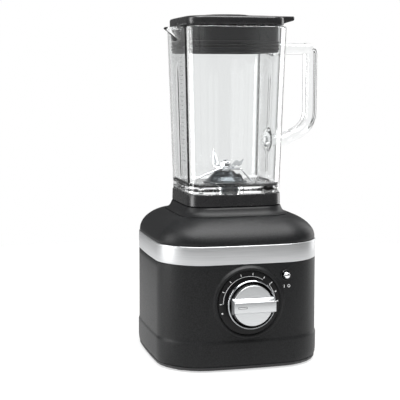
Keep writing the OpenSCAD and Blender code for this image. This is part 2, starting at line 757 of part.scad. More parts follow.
// Handle: centre line in the X-Z plane, upper arm out, grip down, curve back in
arm_z = 377.6;
grip_x = handle_x - handle_t / 2;
bend_r = 34;
low_z = 263.5;
handle_line = concat(
    [[60.5, arm_z], [72, arm_z], [84, arm_z], [grip_x - 6, arm_z]],
    [for (a = [60:-30:0]) [grip_x - 5 + 5 * cos(a), arm_z - 5 + 5 * sin(a)]],
    [[grip_x, 350], [grip_x, 325], [grip_x, 312]],
    [for (a = [-12:-12:-72]) [grip_x - bend_r + bend_r * cos(a), 300 + 31 * sin(a)]],
    [[72, low_z], [58, low_z + 1.5]]);

// Section of the handle at a point of its line, across its direction
function handle_ring(i) =
    let (last = len(handle_line) - 1, p = handle_line[i],
         d = unit(handle_line[min(i + 1, last)] - handle_line[max(i - 1, 0)]), across = [-d.y, d.x])
    [for (q = rounded(handle_t / 2, handle_w / 2, 5.5, 4, 2))
        [p.x - across.x * q.x, q.y, p.y - across.y * q.x]];

module jar_glass() {
    color([0.82, 0.88, 0.9, 0.45]) difference() {
        union() {
            loft(concat(glass_outside, glass_inside));
            loft([for (i = [0:len(handle_line) - 1]) handle_ring(i)]);
        }
        translate([0, 0, jar_foot_z - cut]) cylinder(r = 17.5, h = 20);
    }
}

module jar_collar() {
    wall_half = foot_half + gap;
    color("#1b1b1c") difference() {
        union() {
            loft([neck_ring(collar_half + 0.1, 22.2, collar_z),
                  neck_ring(collar_half + 0.5, 22.4, collar_z + 0.5),
                  neck_ring(collar_half + 0.1, 22.2, collar_top_z - 0.8),
                  neck_ring(collar_half - 0.7, 21.4, collar_top_z)]);
            translate([0, 0, stem_z]) linear_extrude(20) soft_square(stem_half, 10.4);
        }
        loft([neck_ring(wall_half, 17.3, jar_foot_z - 0.4, 1.2),
              neck_ring(wall_half, 17.3, collar_top_z + cut, 1.2)]);
        translate([0, 0, stem_z - cut]) linear_extrude(collar_z + 3 - stem_z + cut)
            soft_square(stem_half - 3, 7.4);
        translate([0, 0, stem_z]) cylinder(r = 16.4, h = 40);
        // hollow round the stem, open downwards
        difference() {
            loft([neck_ring(collar_half - 3, 19, collar_z - cut),
                  neck_ring(collar_half - 3, 19, collar_z + 3)]);
            translate([0, 0, collar_z - 2]) linear_extrude(8) soft_square(stem_half, 10.4);
        }
    }
}

module jar_gasket() {
    color("#5b5d5f") translate([0, 0, floor_z]) tube(26, 16.4, 1);
}

carrier_z = 184.5;
carrier_top_z = 227;
module blade_carrier() {
    color("#4b4f52") rotate_extrude() polygon([
        [11, carrier_z], [16, carrier_z], [16, floor_z + 1], [27, floor_z + 1], [27, floor_z + 2.2],
        [22.5, floor_z + 3.4], [19, floor_z + 9], [13.5, carrier_top_z - 1], [12.5, carrier_top_z],
        [11, carrier_top_z]]);
}

module carrier_nut() {
    nut_z = collar_z + 3 - 6.6;
    color("#9a9da0") translate([0, 0, nut_z]) difference() {
        cylinder(r = 24, h = 6.5, $fn = 6);
        translate([0, 0, -cut]) cylinder(r = 16.1, h = 9);
    }
}

module shaft_seal() {
    color("#202020") translate([0, 0, 222]) tube(10.95, 4 + fit, 4.5);
}

jar_races = [187, 213];
module jar_bearing_outer() {
    color("#d0d2d4") for (z = jar_races) translate([0, 0, z]) tube(10.95, 8.8, 7);
}

// ---------- blade assembly ----------

module jar_bearing_inner() {
    color("#dcdedf") for (z = jar_races) translate([0, 0, z]) tube(6.4, 4, 7);
}

module blade_shaft() {
    color("#b9bcbf") translate([0, 0, 181]) cylinder(r = 4, h = 56);
}

socket_z = 171.5;
module drive_socket() {
    color("#303234") difference() {
        translate([0, 0, socket_z]) cylinder(r = 18.5, h = 12);
        translate([0, 0, socket_z - cut]) linear_extrude(9.2 + cut) spline(11, 13.5, 12);
        translate([0, 0, socket_z]) cylinder(r = 4, h = 30);
        translate([0, 0, socket_z - cut]) cylinder(r1 = 14.8, r2 = 13.2, h = 2.2);
    }
}

module blade_spacer() {
    color("#c6c8ca") translate([0, 0, carrier_top_z + 0.5]) tube(7, 4, 1.6);
}

blade_t = 1.8;
lower_z = carrier_top_z + 2.1;

// Tapered prong with a sharpened, swept tip, lying flat along +X
module prong(length, root_w, tip_w) {
    linear_extrude(blade_t) polygon([
        [0, -root_w / 2], [length * 0.72, -tip_w], [length, tip_w * 0.55], [length - 1.2, tip_w * 0.9],
        [length * 0.7, tip_w * 0.8], [0, root_w / 2]]);
}

// Arm that runs out of the hub, then a wing bent up or down from its end
module bent_prong(turn, arm, wing, bend, twist) {
    rotate([0, 0, turn]) {
        translate([0, -5.5, 0]) cube([arm + 0.6, 11, blade_t]);
        translate([arm, 0, bend > 0 ? 0 : blade_t]) rotate([twist, -bend, 0])
            translate([0, 0, bend > 0 ? 0 : -blade_t]) prong(wing, 11, 4);
    }
}

module blade_hub(turns_and_wings) {
    difference() {
        union() {
            cylinder(r = 7.5, h = blade_t);
            for (w = turns_and_wings) bent_prong(w[0], w[1], w[2], w[3], w[4]);
        }
        translate([0, 0, -cut]) cylinder(r = 4, h = 5);
    }
}

module lower_blade() {
    color("#c9ccce") translate([0, 0, lower_z]) blade_hub([[178, 10, 27, -24, 0], [-14, 17, 23, -46, 0]]);
}

module upper_blade() {
    color("#c9ccce") translate([0, 0, lower_z + blade_t])
        blade_hub([[128, 13, 23, 78, 0], [28, 14, 19, 30, 0]]);
}

module blade_nut() {
    nut_z = lower_z + 2 * blade_t;
    color("#d8dadc") translate([0, 0, nut_z]) difference() {
        union() {
            cylinder(r = 6.6, h = 4.4, $fn = 6);
            intersection() {
                translate([0, 0, 2.6]) sphere(r = 6.1, $fn = small_fn);
                translate([0, 0, 2]) cylinder(r = 5.7, h = 10, $fn = small_fn);
            }
        }
        translate([0, 0, -cut]) cylinder(r = 4, h = 5.4, $fn = small_fn);
    }
}

// ---------- lid and cap ----------

function lid_ring(half, r, z) = at_height(bowed(half, half, r, 1.7, 1.7, 7, 6), z);

lid_top_z = lid_z + lid_h;
neck_r = 24;
module lid_cover() {
    color("#2a2a2b") difference() {
        union() {
            loft([lid_ring(lid_half - 0.6, lid_r, lid_z), lid_ring(lid_half, lid_r, lid_z + 0.8),
                  lid_ring(lid_half + 0.1, lid_r, lid_top_z - 1.4),
                  lid_ring(lid_half - 0.5, lid_r, lid_top_z - 0.4),
                  lid_ring(lid_half - 2, lid_r, lid_top_z), lid_ring(lid_half - 12, lid_r, lid_top_z + 1),
                  lid_ring(lid_half - 24, lid_r, lid_top_z + 1.6)]);
            // lifting tab over the handle
            translate([0, 0, lid_top_z - 2.6]) linear_extrude(4.8) intersection() {
                translate([lid_half - 14, -21]) square([tab_x - lid_half + 14, 42]);
                translate([tab_x - 40, 0]) circle(r = 40);
            }
        }
        translate([0, 0, lid_z - cut]) cylinder(r = neck_r + 2 * gap, h = 20);
        loft([lid_ring(lid_half - 3, lid_r - 3, lid_z - cut),
              lid_ring(lid_half - 3, lid_r - 3, lid_top_z - 3)]);
    }
}

// Rubber plug under the lid, with sealing ribs
seal_half = 55.2;
module lid_seal() {
    color("#202021") loft_loop(concat(
        [lid_ring(seal_half - 1, 13, 371.6), lid_ring(seal_half, 14, 373)],
        [for (i = [0:2]) each [lid_ring(seal_half, 14, 375 + 4 * i),
                               lid_ring(seal_half + 1.6, 15, 376.2 + 4 * i),
                               lid_ring(seal_half, 14, 377.4 + 4 * i)]],
        [lid_ring(seal_half, 14, 402.8), lid_ring(lid_half - 3.3, lid_r - 3.4, 404.2),
         lid_ring(lid_half - 3.3, lid_r - 3.4, lid_top_z - 3.1),
         lid_ring(seal_half - 14, 13, lid_top_z - 3.1),
         lid_ring(seal_half - 14, 13, lid_top_z - 5.6), lid_ring(seal_half - 3.5, 11, lid_top_z - 5.8),
         lid_ring(seal_half - 3.5, 11, 371.6)]));
}

cap_z = 386;
module filler_cap() {
    color("#242425") difference() {
        rotate_extrude() polygon([
            [0, cap_z], [neck_r - 0.8, cap_z], [neck_r, cap_z + 1], [neck_r, lid_top_z + 1.9],
            [cap_r, lid_top_z + 1.9], [cap_r, total_h - 1.4], [cap_r - 1.2, total_h - 0.8],
            [cap_r * 0.5, total_h - 0.2], [0, total_h]]);
        translate([0, 0, cap_z - cut]) cylinder(r = neck_r - 2.4, h = lid_top_z - cap_z - 1);
    }
}

module cap_seal() {
    color("#101010") translate([0, 0, lid_z - 9]) rotate_extrude()
        polygon([[neck_r, 0], [neck_r + 0.5, 0.8], [neck_r + 0.5, 1.6], [neck_r, 2.4]]);
}

housing();
trim_band();
well_insert();
bottom_tray();
feet();
tray_screws();
cord_gland();
scale_plate();
speed_selector();
control_board();
board_parts();
heat_sink();
toggle_bezel();
toggle_switch();
air_duct();
upper_bracket();
lower_bracket();
stator_core();
field_coils();
motor_bolts();
brush_holders();
carbon_brushes();
brush_springs();
upper_bearing_outer();
lower_bearing_outer();
motor_grommets();
mount_screws();
supply_leads();
motor_leads();
motor_shaft();
armature_core();
armature_windings();
commutator();
cooling_fan();
drive_coupling();
bearing_inner_races();
dial_cap();
dial_skirt();
dial_ring();
dial_shaft();
toggle_lever();
jar_glass();
jar_collar();
jar_gasket();
blade_carrier();
carrier_nut();
shaft_seal();
jar_bearing_outer();
blade_shaft();
lower_blade();
upper_blade();
blade_nut();
blade_spacer();
drive_socket();
jar_bearing_inner();
lid_cover();
lid_seal();
filler_cap();
cap_seal();
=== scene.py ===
"""Countertop blender: detailed shells, glass, controls and finishes on the working frame."""

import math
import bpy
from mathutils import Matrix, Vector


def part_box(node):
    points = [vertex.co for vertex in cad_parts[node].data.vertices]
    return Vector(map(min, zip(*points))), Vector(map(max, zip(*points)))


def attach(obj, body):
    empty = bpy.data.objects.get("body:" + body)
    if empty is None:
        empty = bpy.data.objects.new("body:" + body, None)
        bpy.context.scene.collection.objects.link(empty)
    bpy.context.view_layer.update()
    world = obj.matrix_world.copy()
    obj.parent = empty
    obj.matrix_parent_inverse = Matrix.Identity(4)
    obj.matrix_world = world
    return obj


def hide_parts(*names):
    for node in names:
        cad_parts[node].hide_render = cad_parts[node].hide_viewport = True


bl_info = {
    "name": "Countertop blender",
    "version": (1, 0, 0),
    "blender": (4, 5, 0),
    "location": "View3D > Sidebar > Blender",
    "description": "Builds the shells, glass jar, lid, controls and finishes of a countertop blender",
    "category": "Object",
}

import bmesh
import bpy
import numpy as np
from bpy.props import FloatProperty, IntProperty, PointerProperty, StringProperty
from mathutils import Matrix, Vector

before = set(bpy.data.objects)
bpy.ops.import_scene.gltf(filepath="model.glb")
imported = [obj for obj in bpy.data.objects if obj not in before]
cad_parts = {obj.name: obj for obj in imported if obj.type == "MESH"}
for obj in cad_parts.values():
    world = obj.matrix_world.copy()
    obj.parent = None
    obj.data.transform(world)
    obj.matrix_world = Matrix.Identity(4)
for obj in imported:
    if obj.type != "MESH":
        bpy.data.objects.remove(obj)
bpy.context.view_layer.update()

MM = 0.001
TAU = 2 * math.pi


def box_mm(name):
    """Lowest and highest corner of a frame part, in millimetres."""
    low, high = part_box(name)
    return Vector(low) / MM, Vector(high) / MM


BAND_LOW, BAND_HIGH = box_mm("trim_band")
HOUSING_LOW, HOUSING_HIGH = box_mm("housing")
PLATE_LOW, PLATE_HIGH = box_mm("scale_plate")
RING_LOW, RING_HIGH = box_mm("dial_ring")
CAP_LOW, CAP_HIGH = box_mm("dial_cap")
BEZEL_LOW, BEZEL_HIGH = box_mm("toggle_bezel")
COLLAR_LOW, COLLAR_HIGH = box_mm("jar_collar")
JAR_LOW, JAR_HIGH = box_mm("jar_glass")
LID_LOW, LID_HIGH = box_mm("lid_cover")
FILLER_LOW, FILLER_HIGH = box_mm("filler_cap")
CARRIER_LOW, CARRIER_HIGH = box_mm("blade_carrier")
BLADE_LOW, BLADE_HIGH = box_mm("lower_blade")

BAND_PROUD = 0.2
DIAL_Z = (PLATE_LOW.z + PLATE_HIGH.z) / 2
PLATE_Y = -PLATE_LOW.y
TOGGLE_X = (BEZEL_LOW.x + BEZEL_HIGH.x) / 2
TOGGLE_Z = (BEZEL_LOW.z + BEZEL_HIGH.z) / 2
ARM_Z = 377.6
DIAL_FACE_Y = 119.5
DIAL_FACE_R = 23.7
BALL_R = 4.35
LEVER_PIVOT_Y = -93.3
LID_RIM = 10.3
LID_SEAT_Z = 403.9
PLUG_TOP_Z = 414.2
CAP_SEAT_Z = 416.1
CAP_NECK_R = 24
THROAT_R = 24.6
WINDOWS = 8.0
WINDOW_PHASE = -0.836
GAP_START, GAP_END, GAP_LEVEL = 0.37, 0.45, 0.12
ROOM_LEVEL = 0.18
CAMERA_LENS = 96.05
CAMERA_PLACE = (-0.36561, -1.27009, 0.34778)
CAMERA_AIM = (0.25205, 0.96045, -0.11833)


class BaseSizes(bpy.types.PropertyGroup):
    """Sizes of the motor base, in millimetres."""
    width: FloatProperty(name="Width", description="Width at the trim band",
                         default=BAND_HIGH.x - BAND_LOW.x - 2 * BAND_PROUD)
    depth: FloatProperty(name="Depth", description="Depth at the trim band",
                         default=BAND_HIGH.y - BAND_LOW.y - 2 * BAND_PROUD)
    corner: FloatProperty(name="Corner", description="Corner radius of the outline", default=49.5)
    front_bow: FloatProperty(name="Front bow", description="Bow of front and back", default=5.3)
    side_bow: FloatProperty(name="Side bow", description="Bow of the two sides", default=4.6)
    flare: FloatProperty(name="Skirt", description="Outward draft at the foot", default=1.2)
    step_z: FloatProperty(name="Step height", description="Soft step above the skirt", default=36)
    crease_z: FloatProperty(name="Crease height", description="Foot of the neck", default=178)
    crease_half: FloatProperty(name="Crease half width", description="Outline there", default=69)
    neck_half: FloatProperty(name="Neck half width", description="At its top", default=59.8)
    wall: FloatProperty(name="Wall", description="Thickness of the casting", default=3)


class DialSizes(bpy.types.PropertyGroup):
    """Sizes of the dial and its scale, in millimetres."""
    lip_peak: FloatProperty(name="Lip radius", description="Crest of the raised lip", default=40.4)
    lip_out: FloatProperty(name="Lip reach", description="Where the lip dies away", default=45)
    lip_height: FloatProperty(name="Lip height", description="Height of the crest", default=2.8)
    mark_radius: FloatProperty(name="Mark radius", description="Middle of the marks", default=34.4)
    arc_radius: FloatProperty(name="Arc radius", description="Radius of the thin arcs", default=31.6)
    speeds: IntProperty(name="Speeds", description="Number of speed marks", default=6)
    first_angle: FloatProperty(name="First mark", description="Angle of the slowest speed, degrees",
                               default=180)
    step_angle: FloatProperty(name="Step", description="Angle from mark to mark", default=-24.3)
    presets: IntProperty(name="Presets", description="Number of preset marks", default=3)
    preset_angle: FloatProperty(name="First preset", description="Its angle", default=40.5)
    preset_step: FloatProperty(name="Preset step", description="Angle between presets",
                               default=-19.4)


class JarSizes(bpy.types.PropertyGroup):
    """Sizes of the glass jar, in millimetres."""
    foot_half: FloatProperty(name="Foot half width", description="Just above the collar",
                             default=57.6)
    rim_half: FloatProperty(name="Rim half width", description="At the rim", default=63.4)
    corner: FloatProperty(name="Corner", description="Corner radius", default=20)
    wall: FloatProperty(name="Wall", description="Thickness of the glass", default=4.6)
    floor_z: FloatProperty(name="Floor", description="Level of the inner floor", default=212)
    spout: FloatProperty(name="Spout", description="Reach of the pouring lip", default=14)
    spout_width: FloatProperty(name="Spout half width", description="Of the lip", default=24)
    rib_depth: FloatProperty(name="Rib depth", description="Inner mixing ribs", default=0.5)
    rib_width: FloatProperty(name="Rib width", description="Inner mixing ribs", default=8)
    dent: FloatProperty(name="Dent", description="Inward swell at the handle's foot", default=7)
    marks: IntProperty(name="Marks", description="Bars of the measuring scale", default=25)
    mark_pitch: FloatProperty(name="Mark pitch", description="Height between bars", default=5.1)


class LidSizes(bpy.types.PropertyGroup):
    """Sizes of the lid, in millimetres."""
    half: FloatProperty(name="Half width", description="Of the lid's rim", default=60.8)
    corner: FloatProperty(name="Corner", description="Corner radius", default=18)
    seal_half: FloatProperty(name="Seal half width", description="Of the plug", default=55.2)
    seal_foot: FloatProperty(name="Seal foot", description="Lowest edge of the plug", default=371.6)
    seal_ribs: IntProperty(name="Seal ribs", description="Number of sealing ribs", default=3)


class Finishes(bpy.types.PropertyGroup):
    """Colours as sRGB hex."""
    casting: StringProperty(name="Casting", description="Textured coat", default="#1C1D1E")
    plastic: StringProperty(name="Mouldings", description="Black mouldings", default="#1B1B1C")
    metal: StringProperty(name="Metal", description="Brushed steel", default="#C9CACB")
    print: StringProperty(name="Print", description="Printed marks", default="#D8D9DA")
    glass: StringProperty(name="Glass", description="Tint of the glass", default="#F8F9F9")


# ---------------------------------------------------------------- nodes and materials


def linear(hex_colour):
    """RGBA, linear, of an sRGB hex colour."""
    channels = [int(hex_colour[i:i + 2], 16) / 255 for i in (1, 3, 5)]
    return [c / 12.92 if c <= 0.04045 else ((c + 0.055) / 1.055) ** 2.4 for c in channels] + [1]


def node(tree, kind, inputs=None, **settings):
    """Adds a node with its settings; inputs are values, or other nodes' outputs to link."""
    made = tree.nodes.new(kind)
    for key, value in settings.items():
        setattr(made, key, value)
    for key, value in (inputs or {}).items():
        if isinstance(value, bpy.types.NodeSocket):
            tree.links.new(value, made.inputs[key])
        else:
            made.inputs[key].default_value = value
    return made


def new_material(name, colour, roughness, metallic=0.0, **sockets):
    """A principled material; returns it with its tree and shader."""
    material = bpy.data.materials.new(name)
    material.use_nodes = True
    tree = material.node_tree
    shader = tree.nodes["Principled BSDF"]
    values = {"Base Color": linear(colour), "Roughness": roughness, "Metallic": metallic}
    values.update(sockets)
    for key, value in values.items():
        shader.inputs[key].default_value = value
    return material, tree, shader


def placed(tree, scale=(1, 1, 1), offset=(0, 0, 0)):
    """Object coordinates through a mapping."""
    where = node(tree, "ShaderNodeTexCoord").outputs["Object"]
    return node(tree, "ShaderNodeMapping",
                {"Vector": where, "Scale": scale, "Location": offset}).outputs["Vector"]


def noise(tree, grain_mm, scale=(1, 1, 1), detail=3.0):
    """Noise whose grain is a size in millimetres, stretched by scale."""
    return node(tree, "ShaderNodeTexNoise", {"Vector": placed(tree, scale),
                "Scale": 1 / (grain_mm * MM), "Detail": detail}).outputs["Fac"]


def tone(tree, shader, factor, colours, stops=(0.3, 0.7)):
    """Base colour that runs between two linear colours by a factor."""
    ramp = node(tree, "ShaderNodeValToRGB", {"Fac": factor})
    for element, stop, colour in zip(ramp.color_ramp.elements, stops, colours):
        element.position = stop
        element.color = colour
    tree.links.new(ramp.outputs["Color"], shader.inputs["Base Color"])


def rough(tree, shader, factor, low, high):
    """Roughness that runs between two values by a factor."""
    spread = node(tree, "ShaderNodeMapRange", {"Value": factor, "From Min": 0.3, "From Max": 0.7,
                                               "To Min": low, "To Max": high})
    tree.links.new(spread.outputs["Result"], shader.inputs["Roughness"])


def relief(tree, shader, factor, depth_mm, strength=1.0):
    """Bump of a depth in millimetres."""
    bump = node(tree, "ShaderNodeBump",
                {"Height": factor, "Distance": depth_mm * MM, "Strength": strength})
    tree.links.new(bump.outputs["Normal"], shader.inputs["Normal"])


def textured_coat(name, colour):
    """Textured powder coat on die-cast metal: a fine pebble with pale flecks, half matt."""
    material, tree, shader = new_material(name, colour, 0.5, **{
        "IOR": 1.5, "Specular IOR Level": 0.22})
    # real pebble is about 0.4 mm; drawn at 0.8 mm so that it shows
    grain = noise(tree, 0.8, detail=4)
    fleck = noise(tree, 1.5, detail=5)
    tone(tree, shader, fleck, (linear("#0A0A0B"), linear(colour)), (0.34, 0.72))
    rough(tree, shader, grain, 0.38, 0.5)
    relief(tree, shader, grain, 0.14, 0.6)
    return material


def brushed_metal(name, colour, scale, roughness=(0.2, 0.4), grain_mm=0.5, depth=0.02):
    """Brushed steel: long fine scratches one way, which stretch the highlights across them."""
    material, tree, shader = new_material(name, colour, 0.3, 1.0)
    scratch = noise(tree, grain_mm, scale, detail=4)
    dark = [c * 0.86 for c in linear(colour)[:3]] + [1]
    tone(tree, shader, scratch, (dark, linear(colour)))
    rough(tree, shader, scratch, *roughness)
    relief(tree, shader, scratch, depth)
    return material


def plated_metal(name, colour, roughness=(0.05, 0.12)):
    """Polished plating: near mirror, with faint uneven haze from handling."""
    material, tree, shader = new_material(name, colour, 0.08, 1.0)
    haze = noise(tree, 6)
    rough(tree, shader, haze, *roughness)
    relief(tree, shader, haze, 0.02, 0.4)
    return material


def cast_metal(name, colour, roughness=(0.35, 0.6), grain_mm=1.2):
    """Plain worked metal: cast, sintered or laminated, with a dull uneven face."""
    material, tree, shader = new_material(name, colour, 0.5, 1.0)
    grain = noise(tree, grain_mm, detail=5)
    rough(tree, shader, grain, *roughness)
    relief(tree, shader, grain, 0.05, 0.6)
    return material


def moulded_plastic(name, colour, roughness=(0.3, 0.45), grain_mm=0.6, depth=0.03, gloss=0.5):
    """Moulded ABS or nylon: an even colour under a very fine spark grain."""
    material, tree, shader = new_material(name, colour, 0.4, **{
        "IOR": 1.53, "Specular IOR Level": gloss})
    grain = noise(tree, grain_mm, detail=2)
    wide = noise(tree, 14)
    rough(tree, shader, wide, *roughness)
    relief(tree, shader, grain, depth, 0.6)
    return material


def moulded_rubber(name, colour):
    """Silicone rubber: soft and matt, with a faint dusty sheen."""
    material, tree, shader = new_material(name, colour, 0.6, **{
        "IOR": 1.42, "Sheen Weight": 0.15, "Sheen Roughness": 0.5})
    grain = noise(tree, 1.1)
    rough(tree, shader, grain, 0.45, 0.62)
    relief(tree, shader, grain, 0.04, 0.5)
    return material


def pressed_glass(name, colour, roughness=0.0, wave_mm=0.05):
    """Pressed soda-lime glass, fire polished: clear, heavy, with a slight waviness."""
    material, tree, shader = new_material(name, colour, roughness, **{
        "IOR": 1.52, "Transmission Weight": 1.0})
    wave = noise(tree, 28, detail=1)
    relief(tree, shader, wave, wave_mm, 1.0)
    return material


def wound_copper(name, colour):
    """Enamelled winding wire: fine glossy turns, drawn at 1 mm pitch."""
    material, tree, shader = new_material(name, colour, 0.3, 0.6)
    turns = node(tree, "ShaderNodeTexWave", {"Vector": placed(tree), "Scale": 1 / (6.3 * MM),
                 "Distortion": 1.5}, wave_type="RINGS", rings_direction="Z").outputs["Fac"]
    tone(tree, shader, turns, (linear("#6E3516"), linear(colour)), (0.2, 0.8))
    relief(tree, shader, turns, 0.3, 0.8)
    return material


def printed_mark(name, colour):
    """Screen-printed ink: flat, opaque and slightly uneven at its surface."""
    material, tree, shader = new_material(name, colour, 0.5)
    grain = noise(tree, 0.4)
    rough(tree, shader, grain, 0.4, 0.6)
    return material


def circuit_resist(name, colour):
    """Solder resist over glass-epoxy board: glossy green with a fine woven ground."""
    material, tree, shader = new_material(name, colour, 0.3, **{"IOR": 1.55})
    weave = node(tree, "ShaderNodeTexChecker", {"Vector": placed(tree), "Scale": 1 / (1.2 * MM),
                 "Color1": linear(colour), "Color2": linear("#28613A")})
    tree.links.new(weave.outputs["Color"], shader.inputs["Base Color"])
    relief(tree, shader, noise(tree, 1.0), 0.02, 0.5)
    return material


def make_finishes():
    """Every material of the blender, by name."""
    colours = bpy.context.scene.blender_finishes
    round_brush = (0.02, 0.02, 1)
    return {
        "casting": textured_coat("Textured powder coat", colours.casting),
        "band": brushed_metal("Brushed stainless band", colours.metal, (0.01, 0.01, 1),
                              (0.36, 0.5), 0.7),
        "moulding": moulded_plastic("Satin black ABS", colours.plastic, (0.22, 0.32), 0.6, 0.02),
        "matt": moulded_plastic("Matt black nylon", "#18181A", (0.45, 0.6), 1.0, 0.06),
        "gloss": moulded_plastic("Gloss black ABS", "#0B0B0C", (0.12, 0.2), 3, 0.01),
        "plate": moulded_plastic("Satin black scale", "#0D0D0E", (0.32, 0.42), 0.5, 0.02, 0.2),
        "print": printed_mark("Pale screen print", colours.print),
        "satin": brushed_metal("Satin nickel", "#D0D2D3", (0.03, 1, 1), (0.3, 0.42), 0.35, 0.012),
        "chrome": plated_metal("Chrome plate", "#E4E5E6"),
        "dark_chrome": plated_metal("Smoked chrome plate", "#A2A4A6", (0.12, 0.2)),
        "glass": pressed_glass("Pressed soda-lime glass", colours.glass),
        "frosted": pressed_glass("Raised glass mark", "#EEF2F2", 0.25, 0.01),
        "seal": moulded_rubber("Black silicone rubber", "#19191A"),
        "gasket": moulded_rubber("Grey silicone rubber", "#5B5D5F"),
        "foot": moulded_rubber("Moulded foot rubber", "#161616"),
        "anodised": brushed_metal("Dark anodised aluminium", "#55595C", round_brush, (0.25, 0.4)),
        "blade": brushed_metal("Ground blade steel", "#D6D8DA", (1, 0.05, 1), (0.1, 0.24), 0.5),
        "steel": brushed_metal("Bright drawn steel", "#C8CACC", round_brush, (0.15, 0.3)),
        "zinc": plated_metal("Zinc plated steel", "#B7BABD", (0.2, 0.4)),
        "alloy": cast_metal("Cast aluminium", "#A2A5A8"),
        "laminated": cast_metal("Stacked laminations", "#6C7074", (0.4, 0.6), 0.5),
        "sintered": cast_metal("Sintered steel", "#8D9194", (0.4, 0.55), 0.7),
        "copper_wire": wound_copper("Enamelled copper wire", "#A8562A"),
        "copper": cast_metal("Turned copper", "#B87333", (0.2, 0.35), 0.8),
        "brass": cast_metal("Formed brass", "#B08D3E", (0.25, 0.4), 1.5),
        "carbon": moulded_plastic("Pressed carbon", "#2A2A2C", (0.5, 0.7), 0.8, 0.05),
        "switch": moulded_plastic("Grey nylon", "#3A3D3F", (0.35, 0.5), 0.7),
        "board": circuit_resist("Green solder resist", "#2F6B3C"),
        "component": moulded_plastic("Sleeved component", "#4A5560", (0.2, 0.4), 2.0),
        "brown_lead": moulded_plastic("Brown lead sleeve", "#7A4A2A", (0.3, 0.4), 2.0),
        "red_lead": moulded_plastic("Red lead sleeve", "#B22A24", (0.3, 0.4), 2.0),
    }


# frame parts that stay as they are, with the material that each one gets
KEPT_PARTS = {
    "matt": ("well_insert", "bottom_tray", "cord_gland", "air_duct", "cooling_fan",
             "drive_socket"),
    "foot": ("feet", "motor_grommets", "shaft_seal", "cap_seal"),
    "gasket": ("jar_gasket",),
    "zinc": ("tray_screws", "motor_bolts", "mount_screws"),
    "switch": ("speed_selector", "toggle_switch"),
    "board": ("control_board",),
    "component": ("board_parts",),
    "alloy": ("heat_sink", "upper_bracket", "lower_bracket"),
    "laminated": ("stator_core", "armature_core"),
    "copper_wire": ("field_coils", "armature_windings"),
    "copper": ("commutator",),
    "brass": ("brush_holders",),
    "carbon": ("carbon_brushes",),
    "steel": ("brush_springs", "upper_bearing_outer", "lower_bearing_outer", "motor_shaft",
              "bearing_inner_races", "dial_shaft", "jar_bearing_outer", "blade_shaft",
              "blade_spacer", "jar_bearing_inner", "carrier_nut"),
    "sintered": ("drive_coupling",),
    "brown_lead": ("supply_leads",),
    "red_lead": ("motor_leads",),
}
FINISH = {}


# ---------------------------------------------------------------- outlines and meshes


def outline(a, b, r, bow_b=0.0, bow_a=0.0, corner=24, side=16):
    """Rounded rectangle with bowed sides, a by b half widths in all, anticlockwise."""
    centres = [(a - r, b - r), (r - a, b - r), (r - a, r - b), (a - r, r - b)]
    arcs = []
    for k, (cx, cy) in enumerate(centres):
        angles = math.pi / 2 * (k + np.linspace(0, 1, corner + 1))
        arcs.append(np.stack([cx + r * np.cos(angles), cy + r * np.sin(angles)], 1))
    points = []
    for k, arc in enumerate(arcs):
        following = arcs[(k + 1) % 4][0]
        steps = (np.arange(1, side) / side)[:, None]
        points += [arc, arc[-1] + (following - arc[-1]) * steps]
    p = np.concatenate(points)
    x = p[:, 0] * (1 + bow_a / a * (1 - (p[:, 1] / b) ** 2)) * a / (a + bow_a)
    y = p[:, 1] * (1 + bow_b / b * (1 - (p[:, 0] / a) ** 2)) * b / (b + bow_b)
    return np.stack([x, y], 1)


def ring(points, z):
    """Points of an outline at a height."""
    return np.column_stack([points, np.full(len(points), float(z))])


def skin(rings, closed=False):
    """Vertices and faces of a skin through rings, capped at its ends unless it closes."""
    n = len(rings[0])
    count = len(rings)
    faces = []
    for i in range(count if closed else count - 1):
        here, there = i * n, (i + 1) % count * n
        faces += [(here + j, here + (j + 1) % n, there + (j + 1) % n, there + j) for j in range(n)]
    if not closed:
        faces.append(tuple(range(n - 1, -1, -1)))
        faces.append(tuple((count - 1) * n + j for j in range(n)))
    return np.concatenate(rings), faces


def soften(profile, radius, steps=4):
    """Profile whose corners are rounded; ends stay."""
    points = [Vector(p) for p in profile]
    out = [points[0]]
    for before, here, after in zip(points, points[1:], points[2:]):
        reach_in = min(radius, (before - here).length * 0.45)
        reach_out = min(radius, (after - here).length * 0.45)
        start = here + (before - here).normalized() * reach_in
        end = here + (after - here).normalized() * reach_out
        for i in range(steps + 1):
            t = i / steps
            out.append(start * (1 - t) ** 2 + here * 2 * t * (1 - t) + end * t ** 2)
    out.append(points[-1])
    return [tuple(p) for p in out]


def revolved(profile, segments=96, closed=False):
    """Surface of revolution about Z through (radius, height) points; poles are single points."""
    verts, rows, faces = [], [], []
    for radius, height in profile:
        first = len(verts)
        if radius < 1e-6:
            verts.append((0, 0, height))
            rows.append([first] * segments)
        else:
            for k in range(segments):
                angle = TAU * k / segments
                verts.append((radius * math.cos(angle), radius * math.sin(angle), height))
            rows.append([first + k for k in range(segments)])
    pairs = list(zip(rows, rows[1:])) + ([(rows[-1], rows[0])] if closed else [])
    for low, high in pairs:
        for k in range(segments):
            after = (k + 1) % segments
            face = []
            for index in (low[k], low[after], high[after], high[k]):
                if index not in face:
                    face.append(index)
            if len(face) > 2:
                faces.append(tuple(face))
    return np.array(verts, dtype=float), faces


def facing_front(verts, x, z):
    """Turns points that stand up Z so that they point out of the front, about (x, z)."""
    v = np.asarray(verts, dtype=float)
    return np.column_stack([v[:, 0] + x, -v[:, 2], v[:, 1] + z])


def joined(*shells):
    """Several (vertices, faces) as one."""
    verts, faces = [], []
    for shell_verts, shell_faces in shells:
        shift = sum(len(v) for v in verts)
        verts.append(np.asarray(shell_verts, dtype=float))
        faces += [tuple(shift + i for i in face) for face in shell_faces]
    return np.concatenate(verts), faces


